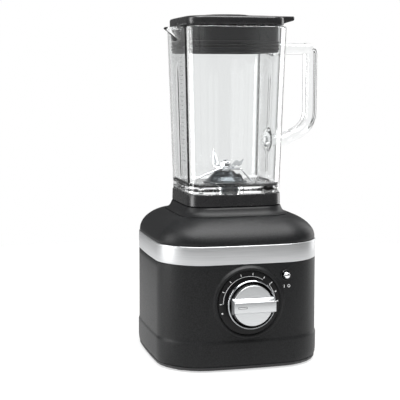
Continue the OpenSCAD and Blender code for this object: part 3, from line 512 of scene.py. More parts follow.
def new_object(name, shell, sharp=35):
    """Object from a shell in millimetres, its normals outward, smooth below an angle."""
    verts, faces = shell
    mesh = bpy.data.meshes.new(name)
    mesh.from_pydata((np.asarray(verts) * MM).tolist(), [], faces)
    cleaned = bmesh.new()
    cleaned.from_mesh(mesh)
    bmesh.ops.remove_doubles(cleaned, verts=cleaned.verts, dist=1e-7)
    bmesh.ops.recalc_face_normals(cleaned, faces=cleaned.faces)
    cleaned.to_mesh(mesh)
    cleaned.free()
    made = bpy.data.objects.new(name, mesh)
    bpy.context.scene.collection.objects.link(made)
    smooth(made, sharp)
    return made


def smooth(made, sharp=35):
    """Smooth shading, with edges sharper than an angle kept."""
    made.data.shade_smooth()
    made.data.set_sharp_from_angle(angle=math.radians(sharp))


def settled(made):
    """Applies an object's modifiers to a plain mesh."""
    depsgraph = bpy.context.evaluated_depsgraph_get()
    mesh = bpy.data.meshes.new_from_object(made.evaluated_get(depsgraph))
    made.modifiers.clear()
    made.data = mesh
    return made


def combined(made, other, operation):
    """Boolean of two objects; the second one is used up."""
    change = made.modifiers.new("cut", "BOOLEAN")
    change.operation = operation
    change.solver = "EXACT"
    change.object = other
    settled(made)
    bpy.data.objects.remove(other)
    return made


def bevelled(made, width_mm, segments=3, angle=30):
    """Rounds the edges sharper than an angle."""
    edge = made.modifiers.new("edge", "BEVEL")
    edge.width = width_mm * MM
    edge.segments = segments
    edge.limit_method = "ANGLE"
    edge.angle_limit = math.radians(angle)
    return settled(made)


def turned(name, section, segments, place, sharp=30, closed=False):
    """Object turned about an axis that points out of the front, at a place (x, z)."""
    verts, faces = revolved(section, segments, closed)
    return new_object(name, (facing_front(verts, *place), faces), sharp)


def finish_piece(made, finish, body, slot, *nodes):
    """Gives a piece its material and its body, and hides the frame parts that it stands for; slot is
    not used.
    """
    made.data.materials.clear()
    made.data.materials.append(FINISH[finish])
    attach(made, body)
    if nodes:
        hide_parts(*nodes)
    return made


# ---------------------------------------------------------------- base


def base_ring(sizes, inset, z, corner=None):
    """Section of the base, inset from its outline at the band."""
    points = outline(sizes.width / 2 - inset, sizes.depth / 2 - inset, corner or sizes.corner,
                     sizes.front_bow, sizes.side_bow)
    return ring(points, z)


def square_ring(half, r, z, bow=1.6):
    """Section of the neck, the collar or the lid: nearly square."""
    return ring(outline(half, half, r, bow, bow), z)


def shoulder_ring(sizes, t, foot_z, skin_depth=0.0):
    """Section of the rounded shoulder, from the band (t = 0) to the crease (t = 1)."""
    foot = 0.9
    inset = foot + (sizes.width / 2 - sizes.crease_half - foot) * (1 - (1 - t ** 1.9) ** 0.714)
    points = outline(sizes.width / 2 - inset - skin_depth,
                     sizes.depth / 2 - inset * (1 + 0.02 * t) - skin_depth,
                     sizes.corner - (sizes.corner - 31) * t,
                     sizes.front_bow * (1 - 0.7 * t), sizes.side_bow * (1 - 0.65 * t))
    return ring(points, foot_z + (sizes.crease_z - foot_z) * t - skin_depth * t)


def flare_ring(sizes, t, skin_depth=0.0):
    """Section of the neck's hollow flare, from the crease up to the collar."""
    draft = 4.4
    half = (sizes.neck_half + draft * (1 - t)
            + (sizes.crease_half - sizes.neck_half - draft) * (1 - t) ** 5)
    z = sizes.crease_z + (HOUSING_HIGH.z - sizes.crease_z) * t
    return square_ring(half - skin_depth, 24 + 6 * (1 - t) - skin_depth / 2, z)


def skirt_rings(sizes, top_z):
    """Sections from the foot of the base, over the soft step, up to the band."""
    foot, flare, step = HOUSING_LOW.z, sizes.flare, sizes.step_z
    stations = [(0.9, 0), (0.2, 0.25), (-flare * 0.35, 1.2), (-flare * 0.6, 3), (-flare * 0.85, 6),
                (-flare, 9), (-flare, 16), (-flare, step - 2.6 - foot)]
    rings = [base_ring(sizes, inset, foot + rise) for inset, rise in stations]
    for i in range(1, 9):
        t = i / 8
        ease = t * t * (3 - 2 * t)
        rings.append(base_ring(sizes, -flare + (flare - 0.3) * ease, step - 2.6 + 4.4 * t))
    for i in range(1, 13):
        t = i / 12
        rings.append(base_ring(sizes, -0.3 * (1 - t), step + 1.8 + (top_z - step - 1.8) * t))
    return rings


def face_y(sizes, x, inset=-0.25):
    """How far the front face stands out at x, over its straight middle."""
    half_w = sizes.width / 2 - inset
    half_d = sizes.depth / 2 - inset
    return (half_d + sizes.front_bow * (1 - (x / half_w) ** 2)) * half_d / (half_d + sizes.front_bow)


def dial_lip(sizes, dial):
    """Soft swell of the casting round the dial, which dies away into the front face."""
    inner = PLATE_HIGH.x + 0.15
    rise = [(inner, None), (inner, 1.1), (inner + 0.35, 1.9), (inner + 1.1, 2.45),
            (inner + 2, 2.74), (dial.lip_peak, dial.lip_height)]
    for i in range(1, 15):
        t = i / 14
        ease = (1 + math.cos(math.pi * t)) / 2
        rise.append((dial.lip_peak + (dial.lip_out - dial.lip_peak) * t ** 0.85,
                     (dial.lip_height + 0.12) * ease ** 1.25 - 0.12))
    rise.append((dial.lip_out + 0.5, None))
    segments = 192
    rings = []
    for radius, swell in rise:
        points = []
        for k in range(segments):
            angle = TAU * k / segments
            x, z = radius * math.cos(angle), radius * math.sin(angle)
            out = -HOUSING_LOW.y - 5 if swell is None else face_y(sizes, x) + swell
            points.append((x, -out, DIAL_Z + z))
        rings.append(np.array(points))
    return skin(rings, closed=True)


def build_housing():
    """Die-cast shell: skirt, soft step, band seat, shoulder, crease and neck, all one skin."""
    sizes = bpy.context.scene.blender_base
    band_low, band_top = BAND_LOW.z - 0.1, BAND_HIGH.z + 0.1
    seat = 1.2
    outer = skirt_rings(sizes, band_low - 0.7)
    outer += [base_ring(sizes, 0.25, band_low - 0.2), base_ring(sizes, seat, band_low - 0.1),
              base_ring(sizes, seat, band_top + 0.1), base_ring(sizes, 1.3, band_top + 0.2)]
    for i in range(1, 31):
        outer.append(shoulder_ring(sizes, 1 - (1 - i / 30) ** 1.6, band_top))
    crease = sizes.crease_half
    outer += [square_ring(crease - 0.45, 30, sizes.crease_z - 0.75),
              square_ring(crease - 1.1, 30, sizes.crease_z - 0.65)]
    outer += [flare_ring(sizes, (i / 14) ** 1.6) for i in range(2, 14)]
    top = HOUSING_HIGH.z
    outer += [square_ring(sizes.neck_half, 23, top - 0.7),
              square_ring(sizes.neck_half - 0.2, 22.6, top - 0.2),
              square_ring(sizes.neck_half - 0.8, 22.2, top)]
    hole, wall = 39.8, sizes.wall
    inner = [square_ring(hole, 14, top, 0.01), square_ring(hole, 14, top - wall, 0.01),
             square_ring(sizes.neck_half - wall, 19.5, top - wall), flare_ring(sizes, 0.5, wall)]
    inner += [shoulder_ring(sizes, t, band_top, wall) for t in (1, 0.93, 0.78, 0.56, 0.28, 0.14)]
    inner += [base_ring(sizes, wall + seat, band_low), base_ring(sizes, wall, DIAL_Z),
              base_ring(sizes, wall - sizes.flare, sizes.step_z),
              base_ring(sizes, wall - sizes.flare, HOUSING_LOW.z)]
    shell = new_object("casting", skin(outer + inner, closed=True), 28)
    gland_low, gland_high = box_mm("cord_gland")
    bezel = BEZEL_HIGH.x - TOGGLE_X + 0.1
    holes = [revolved([(0, 80), (6, 80), (6, 120), (0, 120)], 48),
             revolved([(0, 85), (bezel, 85), (bezel, 125), (0, 125)], 64),
             revolved([(0, -120), (6.7, -120), (6.7, -90), (0, -90)], 48)]
    places = [(0, DIAL_Z), (TOGGLE_X, TOGGLE_Z), (0, (gland_low.z + gland_high.z) / 2)]
    cutter = new_object("cutter", joined(*[
        (facing_front(verts, *place), faces) for (verts, faces), place in zip(holes, places)]))
    combined(shell, cutter, "DIFFERENCE")
    lip = new_object("lip", dial_lip(sizes, bpy.context.scene.blender_dial), 28)
    shell = merged(shell, lip)
    smooth(shell, 28)
    finish_piece(shell, "casting", "base", "cast_black", "housing")
    shell.name = "base_casting"


def merged(first, *others):
    """Several objects' meshes in one object, each still its own closed shell."""
    together = bmesh.new()
    for part in (first, *others):
        together.from_mesh(part.data)
    mesh = bpy.data.meshes.new(first.name)
    together.to_mesh(mesh)
    together.free()
    first.data = mesh
    for part in others:
        bpy.data.objects.remove(part)
    return first


def build_band():
    """Trim band with softened edges, seated in the casting."""
    sizes = bpy.context.scene.blender_base
    low, top = BAND_LOW.z, BAND_HIGH.z
    section = [(1.1, low), (0.35, low), (0.1, low + 0.15), (-0.1, low + 0.5), (-0.2, low + 1.1),
               (-0.2, (low + top) / 2), (-0.2, top - 1.1), (-0.1, top - 0.5), (0.1, top - 0.15),
               (0.35, top), (1.1, top)]
    band = new_object("steel_band",
                      skin([base_ring(sizes, inset, z) for inset, z in section], closed=True), 50)
    finish_piece(band, "band", "base", "trim_metal", "trim_band")


# ---------------------------------------------------------------- repeated marks by geometry nodes


def tree_with(name, inputs):
    """A geometry node tree with named inputs; returns it with its group input node."""
    tree = bpy.data.node_groups.new(name, "GeometryNodeTree")
    for label, kind, value in inputs:
        socket = tree.interface.new_socket(name=label, in_out="INPUT", socket_type=kind)
        if kind != "NodeSocketMaterial":
            socket.default_value = value
    tree.interface.new_socket(name="Geometry", in_out="OUTPUT", socket_type="NodeSocketGeometry")
    return tree, tree.nodes.new("NodeGroupInput")


def arc_tree():
    """Bars set out on an arc in the X-Z plane, each one pointing at its centre."""
    tree, given = tree_with("bars on an arc", [
        ("Count", "NodeSocketInt", 6), ("Radius", "NodeSocketFloat", 0.03),
        ("First Angle", "NodeSocketFloat", 0.0), ("Step Angle", "NodeSocketFloat", 0.4),
        ("Bar", "NodeSocketVector", (0.003, 0.001, 0.001)),
        ("Centre", "NodeSocketVector", (0, 0, 0)), ("Material", "NodeSocketMaterial", None)])
    index = node(tree, "GeometryNodeInputIndex").outputs[0]
    angle = node(tree, "ShaderNodeMath", {0: index, 1: given.outputs["Step Angle"],
                 2: given.outputs["First Angle"]}, operation="MULTIPLY_ADD").outputs[0]
    across = node(tree, "ShaderNodeMath", {0: angle}, operation="COSINE").outputs[0]
    up = node(tree, "ShaderNodeMath", {0: angle}, operation="SINE").outputs[0]
    unit = node(tree, "ShaderNodeCombineXYZ", {"X": across, "Z": up}).outputs[0]
    reach = node(tree, "ShaderNodeVectorMath", {0: unit, "Scale": given.outputs["Radius"]},
                 operation="SCALE").outputs[0]
    where = node(tree, "ShaderNodeVectorMath", {0: reach, 1: given.outputs["Centre"]},
                 operation="ADD").outputs[0]
    turn = node(tree, "ShaderNodeMath", {0: angle, 1: -1.0}, operation="MULTIPLY").outputs[0]
    turned = node(tree, "ShaderNodeCombineXYZ", {"Y": turn}).outputs[0]
    return place_bars(tree, given, where, turned, None)


def row_tree():
    """Bars set out in a row, every so many of them longer."""
    tree, given = tree_with("bars in a row", [
        ("Count", "NodeSocketInt", 10), ("Start", "NodeSocketVector", (0, 0, 0)),
        ("Step", "NodeSocketVector", (0, 0, 0.005)), ("Every", "NodeSocketFloat", 4.0),
        ("Long", "NodeSocketFloat", 1.8), ("Bar", "NodeSocketVector", (0.001, 0.008, 0.001)),
        ("Material", "NodeSocketMaterial", None)])
    index = node(tree, "GeometryNodeInputIndex").outputs[0]
    shift = node(tree, "ShaderNodeVectorMath", {0: given.outputs["Step"], "Scale": index},
                 operation="SCALE").outputs[0]
    where = node(tree, "ShaderNodeVectorMath", {0: shift, 1: given.outputs["Start"]},
                 operation="ADD").outputs[0]
    left = node(tree, "ShaderNodeMath", {0: index, 1: given.outputs["Every"]},
                operation="MODULO").outputs[0]
    first = node(tree, "ShaderNodeMath", {0: left, 1: 0.5}, operation="LESS_THAN").outputs[0]
    longer = node(tree, "ShaderNodeMapRange", {"Value": first, "To Min": 1.0,
                  "To Max": given.outputs["Long"]}).outputs["Result"]
    size = node(tree, "ShaderNodeCombineXYZ", {"X": 1.0, "Y": longer, "Z": 1.0}).outputs[0]
    return place_bars(tree, given, where, None, size)


def place_bars(tree, given, where, turned, size):
    """Ends a tree: bars instanced at places, made real and given their material."""
    points = node(tree, "GeometryNodePoints",
                  {"Count": given.outputs["Count"], "Position": where}).outputs[0]
    bar = node(tree, "GeometryNodeMeshCube", {"Size": given.outputs["Bar"]}).outputs["Mesh"]
    inputs = {"Points": points, "Instance": bar}
    if turned is not None:
        inputs["Rotation"] = turned
    if size is not None:
        inputs["Scale"] = size
    spread = node(tree, "GeometryNodeInstanceOnPoints", inputs).outputs[0]
    real = node(tree, "GeometryNodeRealizeInstances", {"Geometry": spread}).outputs[0]
    shown = node(tree, "GeometryNodeSetMaterial",
                 {"Geometry": real, "Material": given.outputs["Material"]}).outputs[0]
    node(tree, "NodeGroupOutput", {"Geometry": shown})
    return tree


def grown(name, tree, values):
    """Plain mesh object grown by a geometry node tree from named input values."""
    made = bpy.data.objects.new(name, bpy.data.meshes.new(name))
    bpy.context.scene.collection.objects.link(made)
    change = made.modifiers.new("grow", "NODES")
    change.node_group = tree
    for item in tree.interface.items_tree:
        if item.in_out == "INPUT":
            change[item.identifier] = values[item.name]
    return settled(made)


def arc_strip(radius, start, end, width, low, high, steps=48):
    """Flat raised strip along an arc of the dial's scale."""
    rings = []
    for i in range(steps + 1):
        angle = math.radians(start + (end - start) * i / steps)
        corners = [(radius - width / 2, low), (radius + width / 2, low),
                   (radius + width / 2, high), (radius - width / 2, high)]
        rings.append(np.array([(r * math.cos(angle), -out, DIAL_Z + r * math.sin(angle))
                               for r, out in corners]))
    return skin(rings)


def build_scale():
    """Scale plate with its printed speed marks, preset marks, arcs and off dot."""
    dial = bpy.context.scene.blender_dial
    back, front, outer = -PLATE_HIGH.y, PLATE_Y, PLATE_HIGH.x
    section = soften([(7, back), (outer, back), (outer, front), (7, front), (7, back)], 0.3)
    plate = turned("scale_disc", section[:-1], 128, (0, DIAL_Z), 35, closed=True)
    finish_piece(plate, "plate", "base", "scale_black", "scale_plate")
    tree = arc_tree()
    ink = 0.06
    centre = (0, -(front + ink / 2) * MM, DIAL_Z * MM)
    parts = []
    for count, first, step, bar in (
            (dial.speeds, dial.first_angle, dial.step_angle, (2.6, ink, 0.8)),
            (1, dial.preset_angle, 0, (4.6, ink, 0.8)),
            (dial.presets, dial.preset_angle, dial.preset_step, (2.2, ink, 1.3)),
            (1, dial.first_angle + 18.5, 0, (1.8, ink, 1.8))):
        parts.append(grown("marks", tree, {
            "Count": count, "Radius": dial.mark_radius * MM, "First Angle": math.radians(first),
            "Step Angle": math.radians(step), "Bar": [side * MM for side in bar],
            "Centre": centre, "Material": FINISH["print"]}))
    arcs = [(180, 59), (40.5, 2)]
    for start, end in arcs:
        parts.append(new_object("arc", arc_strip(dial.arc_radius, start, end, 0.45,
                                                 front - 0.02, front + ink), 35))
    marks = merged(*parts)
    marks.name = "scale_marks"
    finish_piece(marks, "print", "base", "scale_black")


def build_dial():
    """Chrome ring, black gap and satin face with its grip bar and pointer line, ringed by a painted
    shadow.
    """
    back, front = -RING_HIGH.y, -RING_LOW.y
    outer = RING_HIGH.x
    section = soften([(outer - 2, front - 2.6), (outer - 0.3, front - 2.6), (outer, front - 2),
                      (outer, front - 1), (outer - 0.8, front), (outer - 1.6, front - 0.2),
                      (outer - 2, front - 1.2), (outer - 2, front - 2.6)], 0.4)[:-1]
    chrome = turned("dial_chrome_ring", section, 160, (0, DIAL_Z), closed=True)
    finish_piece(chrome, "dark_chrome", "dial", "dial_chrome", "dial_ring")

    cap_back, cap_face = -CAP_HIGH.y, DIAL_FACE_Y
    section = soften([(9, back), (outer - 0.4, back), (outer - 0.4, front - 2.4),
                      (outer - 2.2, front - 2.4), (outer - 2.6, front - 7), (25, front - 8),
                      (25, cap_back), (9, cap_back), (9, back)], 0.4)[:-1]
    skirt = turned("dial_black_skirt", section, 128, (0, DIAL_Z), closed=True)
    finish_piece(skirt, "gloss", "dial", "dial_black", "dial_skirt")

    section = soften([(0, cap_back), (DIAL_FACE_R, cap_back), (DIAL_FACE_R, cap_face),
                      (0, cap_face + 0.25)], 0.9, 6)
    face = turned("face", section, 160, (0, DIAL_Z))
    half, grip = CAP_HIGH.x, -CAP_LOW.y - 0.1
    lower = [(cap_back, 9.4), (cap_face - 0.4, 9.2), (cap_face + 0.6, 8.5), (cap_face + 2.4, 7.7),
             (grip - 1.4, 6.5), (grip, 6.1)]
    section = [(out, -rise) for out, rise in lower] + [(out, rise) for out, rise in lower[::-1]]
    rings = [np.array([(x, -out, DIAL_Z + rise) for out, rise in section])
             for x in np.linspace(-half, half, 11)]
    bar = new_object("bar", skin(rings), 25)
    bevelled(bar, 0.45, 3, 24)
    cap = merged(face, bar)
    smooth(cap, 30)
    cap.name = "dial_face"
    finish_piece(cap, "satin", "dial", "dial_satin", "dial_cap")
    tree = row_tree()
    # painted shadow: pointer_shadow is a grey nylon bar just behind the white pointer line and a
    # little larger than it; its dark rim stands in for the shade round an engraved line
    for name, finish, size, lift in (("pointer_shadow", "switch", (10.8, 0.06, 2.3), 0.02),
                                     ("pointer_line", "print", (9.6, 0.06, 0.9), 0.05)):
        line = grown(name, tree, {
            "Count": 1, "Start": Vector((-15.2, -grip - lift, DIAL_Z)) * MM, "Step": (0, 0, 0),
            "Every": 1.0, "Long": 1.0, "Bar": Vector(size) * MM, "Material": FINISH[finish]})
        finish_piece(line, finish, "dial", "dial_satin")


def build_toggle():
    """Dark bezel, ball lever and the two plain on and off signs under it."""
    back, front = -BEZEL_HIGH.y, -BEZEL_LOW.y
    outer = BEZEL_HIGH.x - TOGGLE_X
    section = soften([(outer - 1, back), (outer, back), (outer, front), (outer - 1, front),
                      (outer - 1, back)], 0.35)[:-1]
    bezel = turned("toggle_ring", section, 64, (TOGGLE_X, TOGGLE_Z), closed=True)
    finish_piece(bezel, "gloss", "base", "moulded_black", "toggle_bezel")

    ball_out = -box_mm("toggle_lever")[0].y - BALL_R
    section = [(0, ball_out - 12.3), (2, ball_out - 12.3), (2, ball_out - 5), (2.2, ball_out - 4.1)]
    for i in range(4, 17):
        angle = math.pi * i / 16
        section.append((max(BALL_R * math.sin(angle), 0), ball_out - BALL_R * math.cos(angle)))
    section[-1] = (0, ball_out + BALL_R)
    ball = turned("toggle_ball", section, 64, (TOGGLE_X, TOGGLE_Z), 40)
    pin_verts, pin_faces = revolved(soften([(0, -5.8), (1.2, -5.8), (1.2, 5.8), (0, 5.8)], 0.3), 32)
    pin = new_object("pin", (pin_verts + [TOGGLE_X, LEVER_PIVOT_Y, TOGGLE_Z], pin_faces), 40)
    lever = merged(ball, pin)
    finish_piece(lever, "chrome", "toggle", "lever_chrome", "toggle_lever")

    sizes = bpy.context.scene.blender_base
    sign_z = TOGGLE_Z - 13.4
    stroke, height = 0.75, 3.6
    signs = []
    for x, kind in ((TOGGLE_X - 1.6, "on"), (TOGGLE_X + 4.2, "off")):
        out = face_y(sizes, x) + 0.02
        if kind == "on":
            flat = [(-stroke / 2, -height / 2), (stroke / 2, -height / 2),
                    (stroke / 2, height / 2), (-stroke / 2, height / 2)]
            rings = [np.array([(x + px, -depth, sign_z + pz) for px, pz in flat])
                     for depth in (out - 0.3, out + 0.05)]
            signs.append(new_object("sign", skin(rings), 30))
        else:
            r = height / 2
            section = [(r - stroke, out - 0.3), (r, out - 0.3), (r, out + 0.05),
                       (r - stroke, out + 0.05)]
            signs.append(turned("sign", section, 40, (x, sign_z), closed=True))
    shown = merged(*signs)
    shown.name = "on_off_signs"
    finish_piece(shown, "print", "base", "cast_black")


# ---------------------------------------------------------------- jar


def jar_half(sizes, z):
    """Half width of the glass outside, at a height."""
    return sizes.foot_half + (sizes.rim_half - sizes.foot_half) * (z - COLLAR_HIGH.z) / (
        JAR_HIGH.z - COLLAR_HIGH.z)


def jar_ring(sizes, half, r, z, lip=0.0, inner=False):
    """Section of the glass, with the pouring lip on the left and, inside, ribs and a dent."""
    p = outline(half, half, r, 1.2, 1.2, 20, 40)
    reach = np.clip(np.abs(p[:, 1]) / sizes.spout_width, 0, 1)
    p[:, 0] -= np.where(p[:, 0] < 0, lip * np.cos(reach * math.pi / 2) ** 2, 0)
    if inner:
        fade = np.clip((z - sizes.floor_z - 6) / 10, 0, 1) * np.clip((362 - z) / 26, 0, 1)
        for axis in (0, 1):
            near = np.exp(-(p[:, axis] / (sizes.rib_width / 2)) ** 2)
            on_wall = np.abs(p[:, 1 - axis]) > half * 0.7
            p[:, 1 - axis] -= np.sign(p[:, 1 - axis]) * near * on_wall * sizes.rib_depth * fade
        swell = sizes.dent * math.exp(-((z - 265) / 9) ** 2)
        swell += 0.35 * sizes.dent * math.exp(-((z - ARM_Z) / 8) ** 2)
        p[:, 0] -= np.where(p[:, 0] > half * 0.7, swell * np.exp(-(p[:, 1] / 13) ** 2), 0)
    return ring(p, z)


def jar_rings(sizes):
    """Sections of the glass: up the outside, over the rim and down the inside."""
    foot_z, rim = JAR_LOW.z, JAR_HIGH.z
    foot, r, wall = 54.9, sizes.corner, sizes.wall
    collar = COLLAR_HIGH.z
    rings = [jar_ring(sizes, foot - 1.4, r - 4.4, foot_z),
             jar_ring(sizes, foot - 0.4, r - 3.4, foot_z + 0.3),
             jar_ring(sizes, foot, r - 3, foot_z + 1.2), jar_ring(sizes, foot, r - 3, collar - 0.6),
             jar_ring(sizes, foot + 0.5, r - 2.5, collar),
             jar_ring(sizes, jar_half(sizes, collar) - 0.8, r - 0.6, collar + 0.35),
             jar_ring(sizes, jar_half(sizes, collar), r, collar + 1.3)]
    rings += [jar_ring(sizes, jar_half(sizes, z), r, z) for z in np.linspace(208, 386, 36)]
    for z in np.linspace(388, rim - 2.4, 10):
        t = (z - 386) / (rim - 2.4 - 386)
        rings.append(jar_ring(sizes, jar_half(sizes, z), r, z, sizes.spout * t ** 1.5))
    half = jar_half(sizes, rim - 1.6)
    rings += [jar_ring(sizes, half - 0.1, r - 0.1, rim - 1.3, sizes.spout),
              jar_ring(sizes, half - 0.7, r - 0.7, rim - 0.3, sizes.spout),
              jar_ring(sizes, half - 1.6, r - 1.6, rim, sizes.spout - 0.3),
              jar_ring(sizes, half - wall + 1.4, r - 4, rim, sizes.spout - 1),
              jar_ring(sizes, half - wall + 0.5, r - 4.6, rim - 0.3, sizes.spout - 1.3),
              jar_ring(sizes, half - wall, r - 5, rim - 1.3, sizes.spout - 1.5)]
    for z in np.linspace(rim - 3, 388, 8):
        t = (z - 386) / (rim - 3 - 386)
        rings.append(jar_ring(sizes, jar_half(sizes, z) - wall, r - 5, z,
                              (sizes.spout - 1.5) * t ** 1.5, inner=True))
    floor = sizes.floor_z
    for z in np.linspace(386, floor + 7, 60):
        rings.append(jar_ring(sizes, jar_half(sizes, z) - wall, r - 5, z, inner=True))
    half = jar_half(sizes, floor + 6) - wall
    for i in range(1, 9):
        angle = math.pi / 2 * i / 8
        rings.append(jar_ring(sizes, half - 6 * (1 - math.cos(angle)), r - 5 - 3 * i / 8,
                              floor + 6 - 6 * math.sin(angle), inner=True))
    rings.append(jar_ring(sizes, half - 14, r - 10, floor))
    return rings


def handle_path():
    """Centre line of the handle in the X-Z plane: arm, bend, grip and curve back in."""
    grip_x = JAR_HIGH.x - 7
    low_z, bend = 263.5, 34
    path = [(61.2, ARM_Z), (66, ARM_Z), (72, ARM_Z), (80, ARM_Z), (88, ARM_Z), (96, ARM_Z),
            (grip_x - 7, ARM_Z)]
    for i in range(1, 9):
        angle = math.pi / 2 * (1 - i / 8)
        path.append((grip_x - 7 + 7 * math.cos(angle), ARM_Z - 7 + 7 * math.sin(angle)))
    path += [(grip_x, z) for z in (360, 345, 330, 315, 303)]
    for i in range(1, 17):
        angle = math.radians(-75 * i / 16)
        path.append((grip_x - bend + bend * math.cos(angle), 300 + 31 * math.sin(angle)))
    path += [(78, low_z + 1.8), (70, low_z + 0.2), (64, low_z), (59.4, low_z + 0.3)]
    return path


def build_handle():
    """Pressed glass handle: rounded flat section, with a bead where each arm meets the jar."""
    path = handle_path()
    last = len(path) - 1
    half_t, half_w = 7, 12.5
    rings = []
    for i, point in enumerate(path):
        before, after = path[max(i - 1, 0)], path[min(i + 1, last)]
        along = Vector((after[0] - before[0], after[1] - before[1])).normalized()
        near_jar = abs(point[0] - 66) < 1.5 and (i < 4 or i > last - 6)
        grow = 1.1 if near_jar else 1.0
        across = (-along.y, along.x)
        section = outline(half_t * grow, half_w * grow, 5.6, 0.5, 0.3, 8, 5)
        rings.append(np.array([(point[0] - across[0] * q[0], q[1], point[1] - across[1] * q[0])
                               for q in section]))
    return new_object("handle", skin(rings), 40)


def build_jar():
    """Glass jar with its handle fused on and the bore for the blade carrier."""
    sizes = bpy.context.scene.blender_jar
    jar = new_object("glass_jar", skin(jar_rings(sizes), closed=False), 40)
    bore = new_object("bore", revolved([(0, 190), (17.5, 190), (17.5, 216), (0, 216)], 96), 30)
    combined(jar, bore, "DIFFERENCE")
    combined(jar, build_handle(), "UNION")
    smooth(jar, 40)
    jar.name = "glass_jar"
    finish_piece(jar, "glass", "jar", "jar_glass", "jar_glass")

    start = 243
    rise = sizes.mark_pitch
    lean = (sizes.rim_half - sizes.foot_half) / (JAR_HIGH.z - COLLAR_HIGH.z)
    marks = grown("measuring_marks", row_tree(), {
        "Count": sizes.marks, "Start": Vector((-jar_half(sizes, start) - 0.05, -24, start)) * MM,
        "Step": Vector((-lean * rise, 0, rise)) * MM, "Every": 5.0, "Long": 1.9,
        "Bar": Vector((0.7, 7, 0.8)) * MM, "Material": FINISH["frosted"]})
    finish_piece(marks, "frosted", "jar", "jar_glass")


def build_collar():
    """Satin collar that holds the glass foot, with the hollow drive stem under it."""
    low, top = COLLAR_HIGH.z - 14.6, COLLAR_HIGH.z
    half, recess = 58.8, 55.2
    outer = [square_ring(half - 0.6, 21.6, low), square_ring(half + 0.1, 22.2, low + 0.3),
             square_ring(half + 0.5, 22.4, low + 0.9), square_ring(half + 0.3, 22.3, low + 7),
             square_ring(half + 0.1, 22.2, top - 1.4), square_ring(half - 0.1, 22, top - 0.5),
             square_ring(half - 0.7, 21.6, top - 0.1), square_ring(half - 1.4, 21, top)]
    floor = JAR_LOW.z - 0.4
    inner = [square_ring(recess + 0.6, 17.8, top), square_ring(recess, 17.3, top - 0.5, 1.2),
             square_ring(recess, 17.3, floor, 1.2), square_ring(17, 16.4, floor, 0.01),
             square_ring(17, 16.4, low + 3, 0.01), square_ring(half - 3, 19, low + 3),
             square_ring(half - 3, 19, low)]
    wall = new_object("wall", skin(outer + inner, closed=True), 30)
    stem_half, stem_low = 36.4, COLLAR_LOW.z
    stem = [square_ring(stem_half - 0.8, 9.6, stem_low, 0.01),
            square_ring(stem_half, 10.4, stem_low + 0.8, 0.01),
            square_ring(stem_half, 10.4, low + 3.4, 0.01),
            square_ring(stem_half - 3, 7.4, low + 3.4, 0.01),
            square_ring(stem_half - 3, 7.4, stem_low + 0.3, 0.01),
            square_ring(stem_half - 2.6, 7.8, stem_low, 0.01)]
    tube = new_object("stem", skin(stem, closed=True), 30)
    collar = merged(wall, tube)
    smooth(collar, 30)
    collar.name = "collar_moulding"
    finish_piece(collar, "moulding", "jar", "collar_black", "jar_collar")


# ---------------------------------------------------------------- blades


def bent_blade(turn, arm, wing, bend, base_z, thick=1.8, root=5.6):
    """Sharpened prong: flat arm, a tight bend, then a wing that narrows to a swept tip."""
    radius = 3.5
    bend_angle = math.radians(bend)
    arc = radius * abs(bend_angle)
    total = arm + arc + wing - arc * 0.5
    stations = np.unique(np.concatenate([np.linspace(0, arm, 4), np.linspace(arm, arm + arc, 9),
                                         np.linspace(arm + arc, total, 22)]))
    sign = 1 if bend > 0 else -1
    rings = []
    for s in stations:
        if s <= arm:
            x, z, angle = s, 0.0, 0.0
        elif s <= arm + arc:
            angle = sign * (s - arm) / radius
            x = arm + radius * math.sin(abs(angle))
            z = sign * radius * (1 - math.cos(angle))
        else:
            angle = bend_angle
            x = arm + radius * math.sin(abs(angle)) + (s - arm - arc) * math.cos(angle)
            z = sign * radius * (1 - math.cos(angle)) + (s - arm - arc) * math.sin(angle)
        t = max(0.0, (s - arm) / (total - arm))
        lead = -root + (root + 1.6) * t ** 1.7
        trail = root - (root - 2.4) * t ** 1.4
        if t > 0.93:
            lead = lead + (trail - 0.35 - lead) * ((t - 0.93) / 0.07)
        grind = min(2.6, (trail - lead) * 0.45) * min(1, 3 * t) + 0.25
        section = [(lead, -0.12), (lead + grind, -thick / 2), (trail - 0.3, -thick / 2),
                   (trail, -thick / 4), (trail, thick / 4), (trail - 0.3, thick / 2),
                   (lead + grind, thick / 2), (lead, 0.12)]
        normal = (-math.sin(angle), math.cos(angle))
        rings.append(np.array([(x + normal[0] * n, c, z + normal[1] * n) for c, n in section]))
    verts, faces = skin(rings)
    spin = np.array(Matrix.Rotation(math.radians(turn), 3, "Z"))
    return verts @ spin.T + [0, 0, base_z + thick / 2], faces


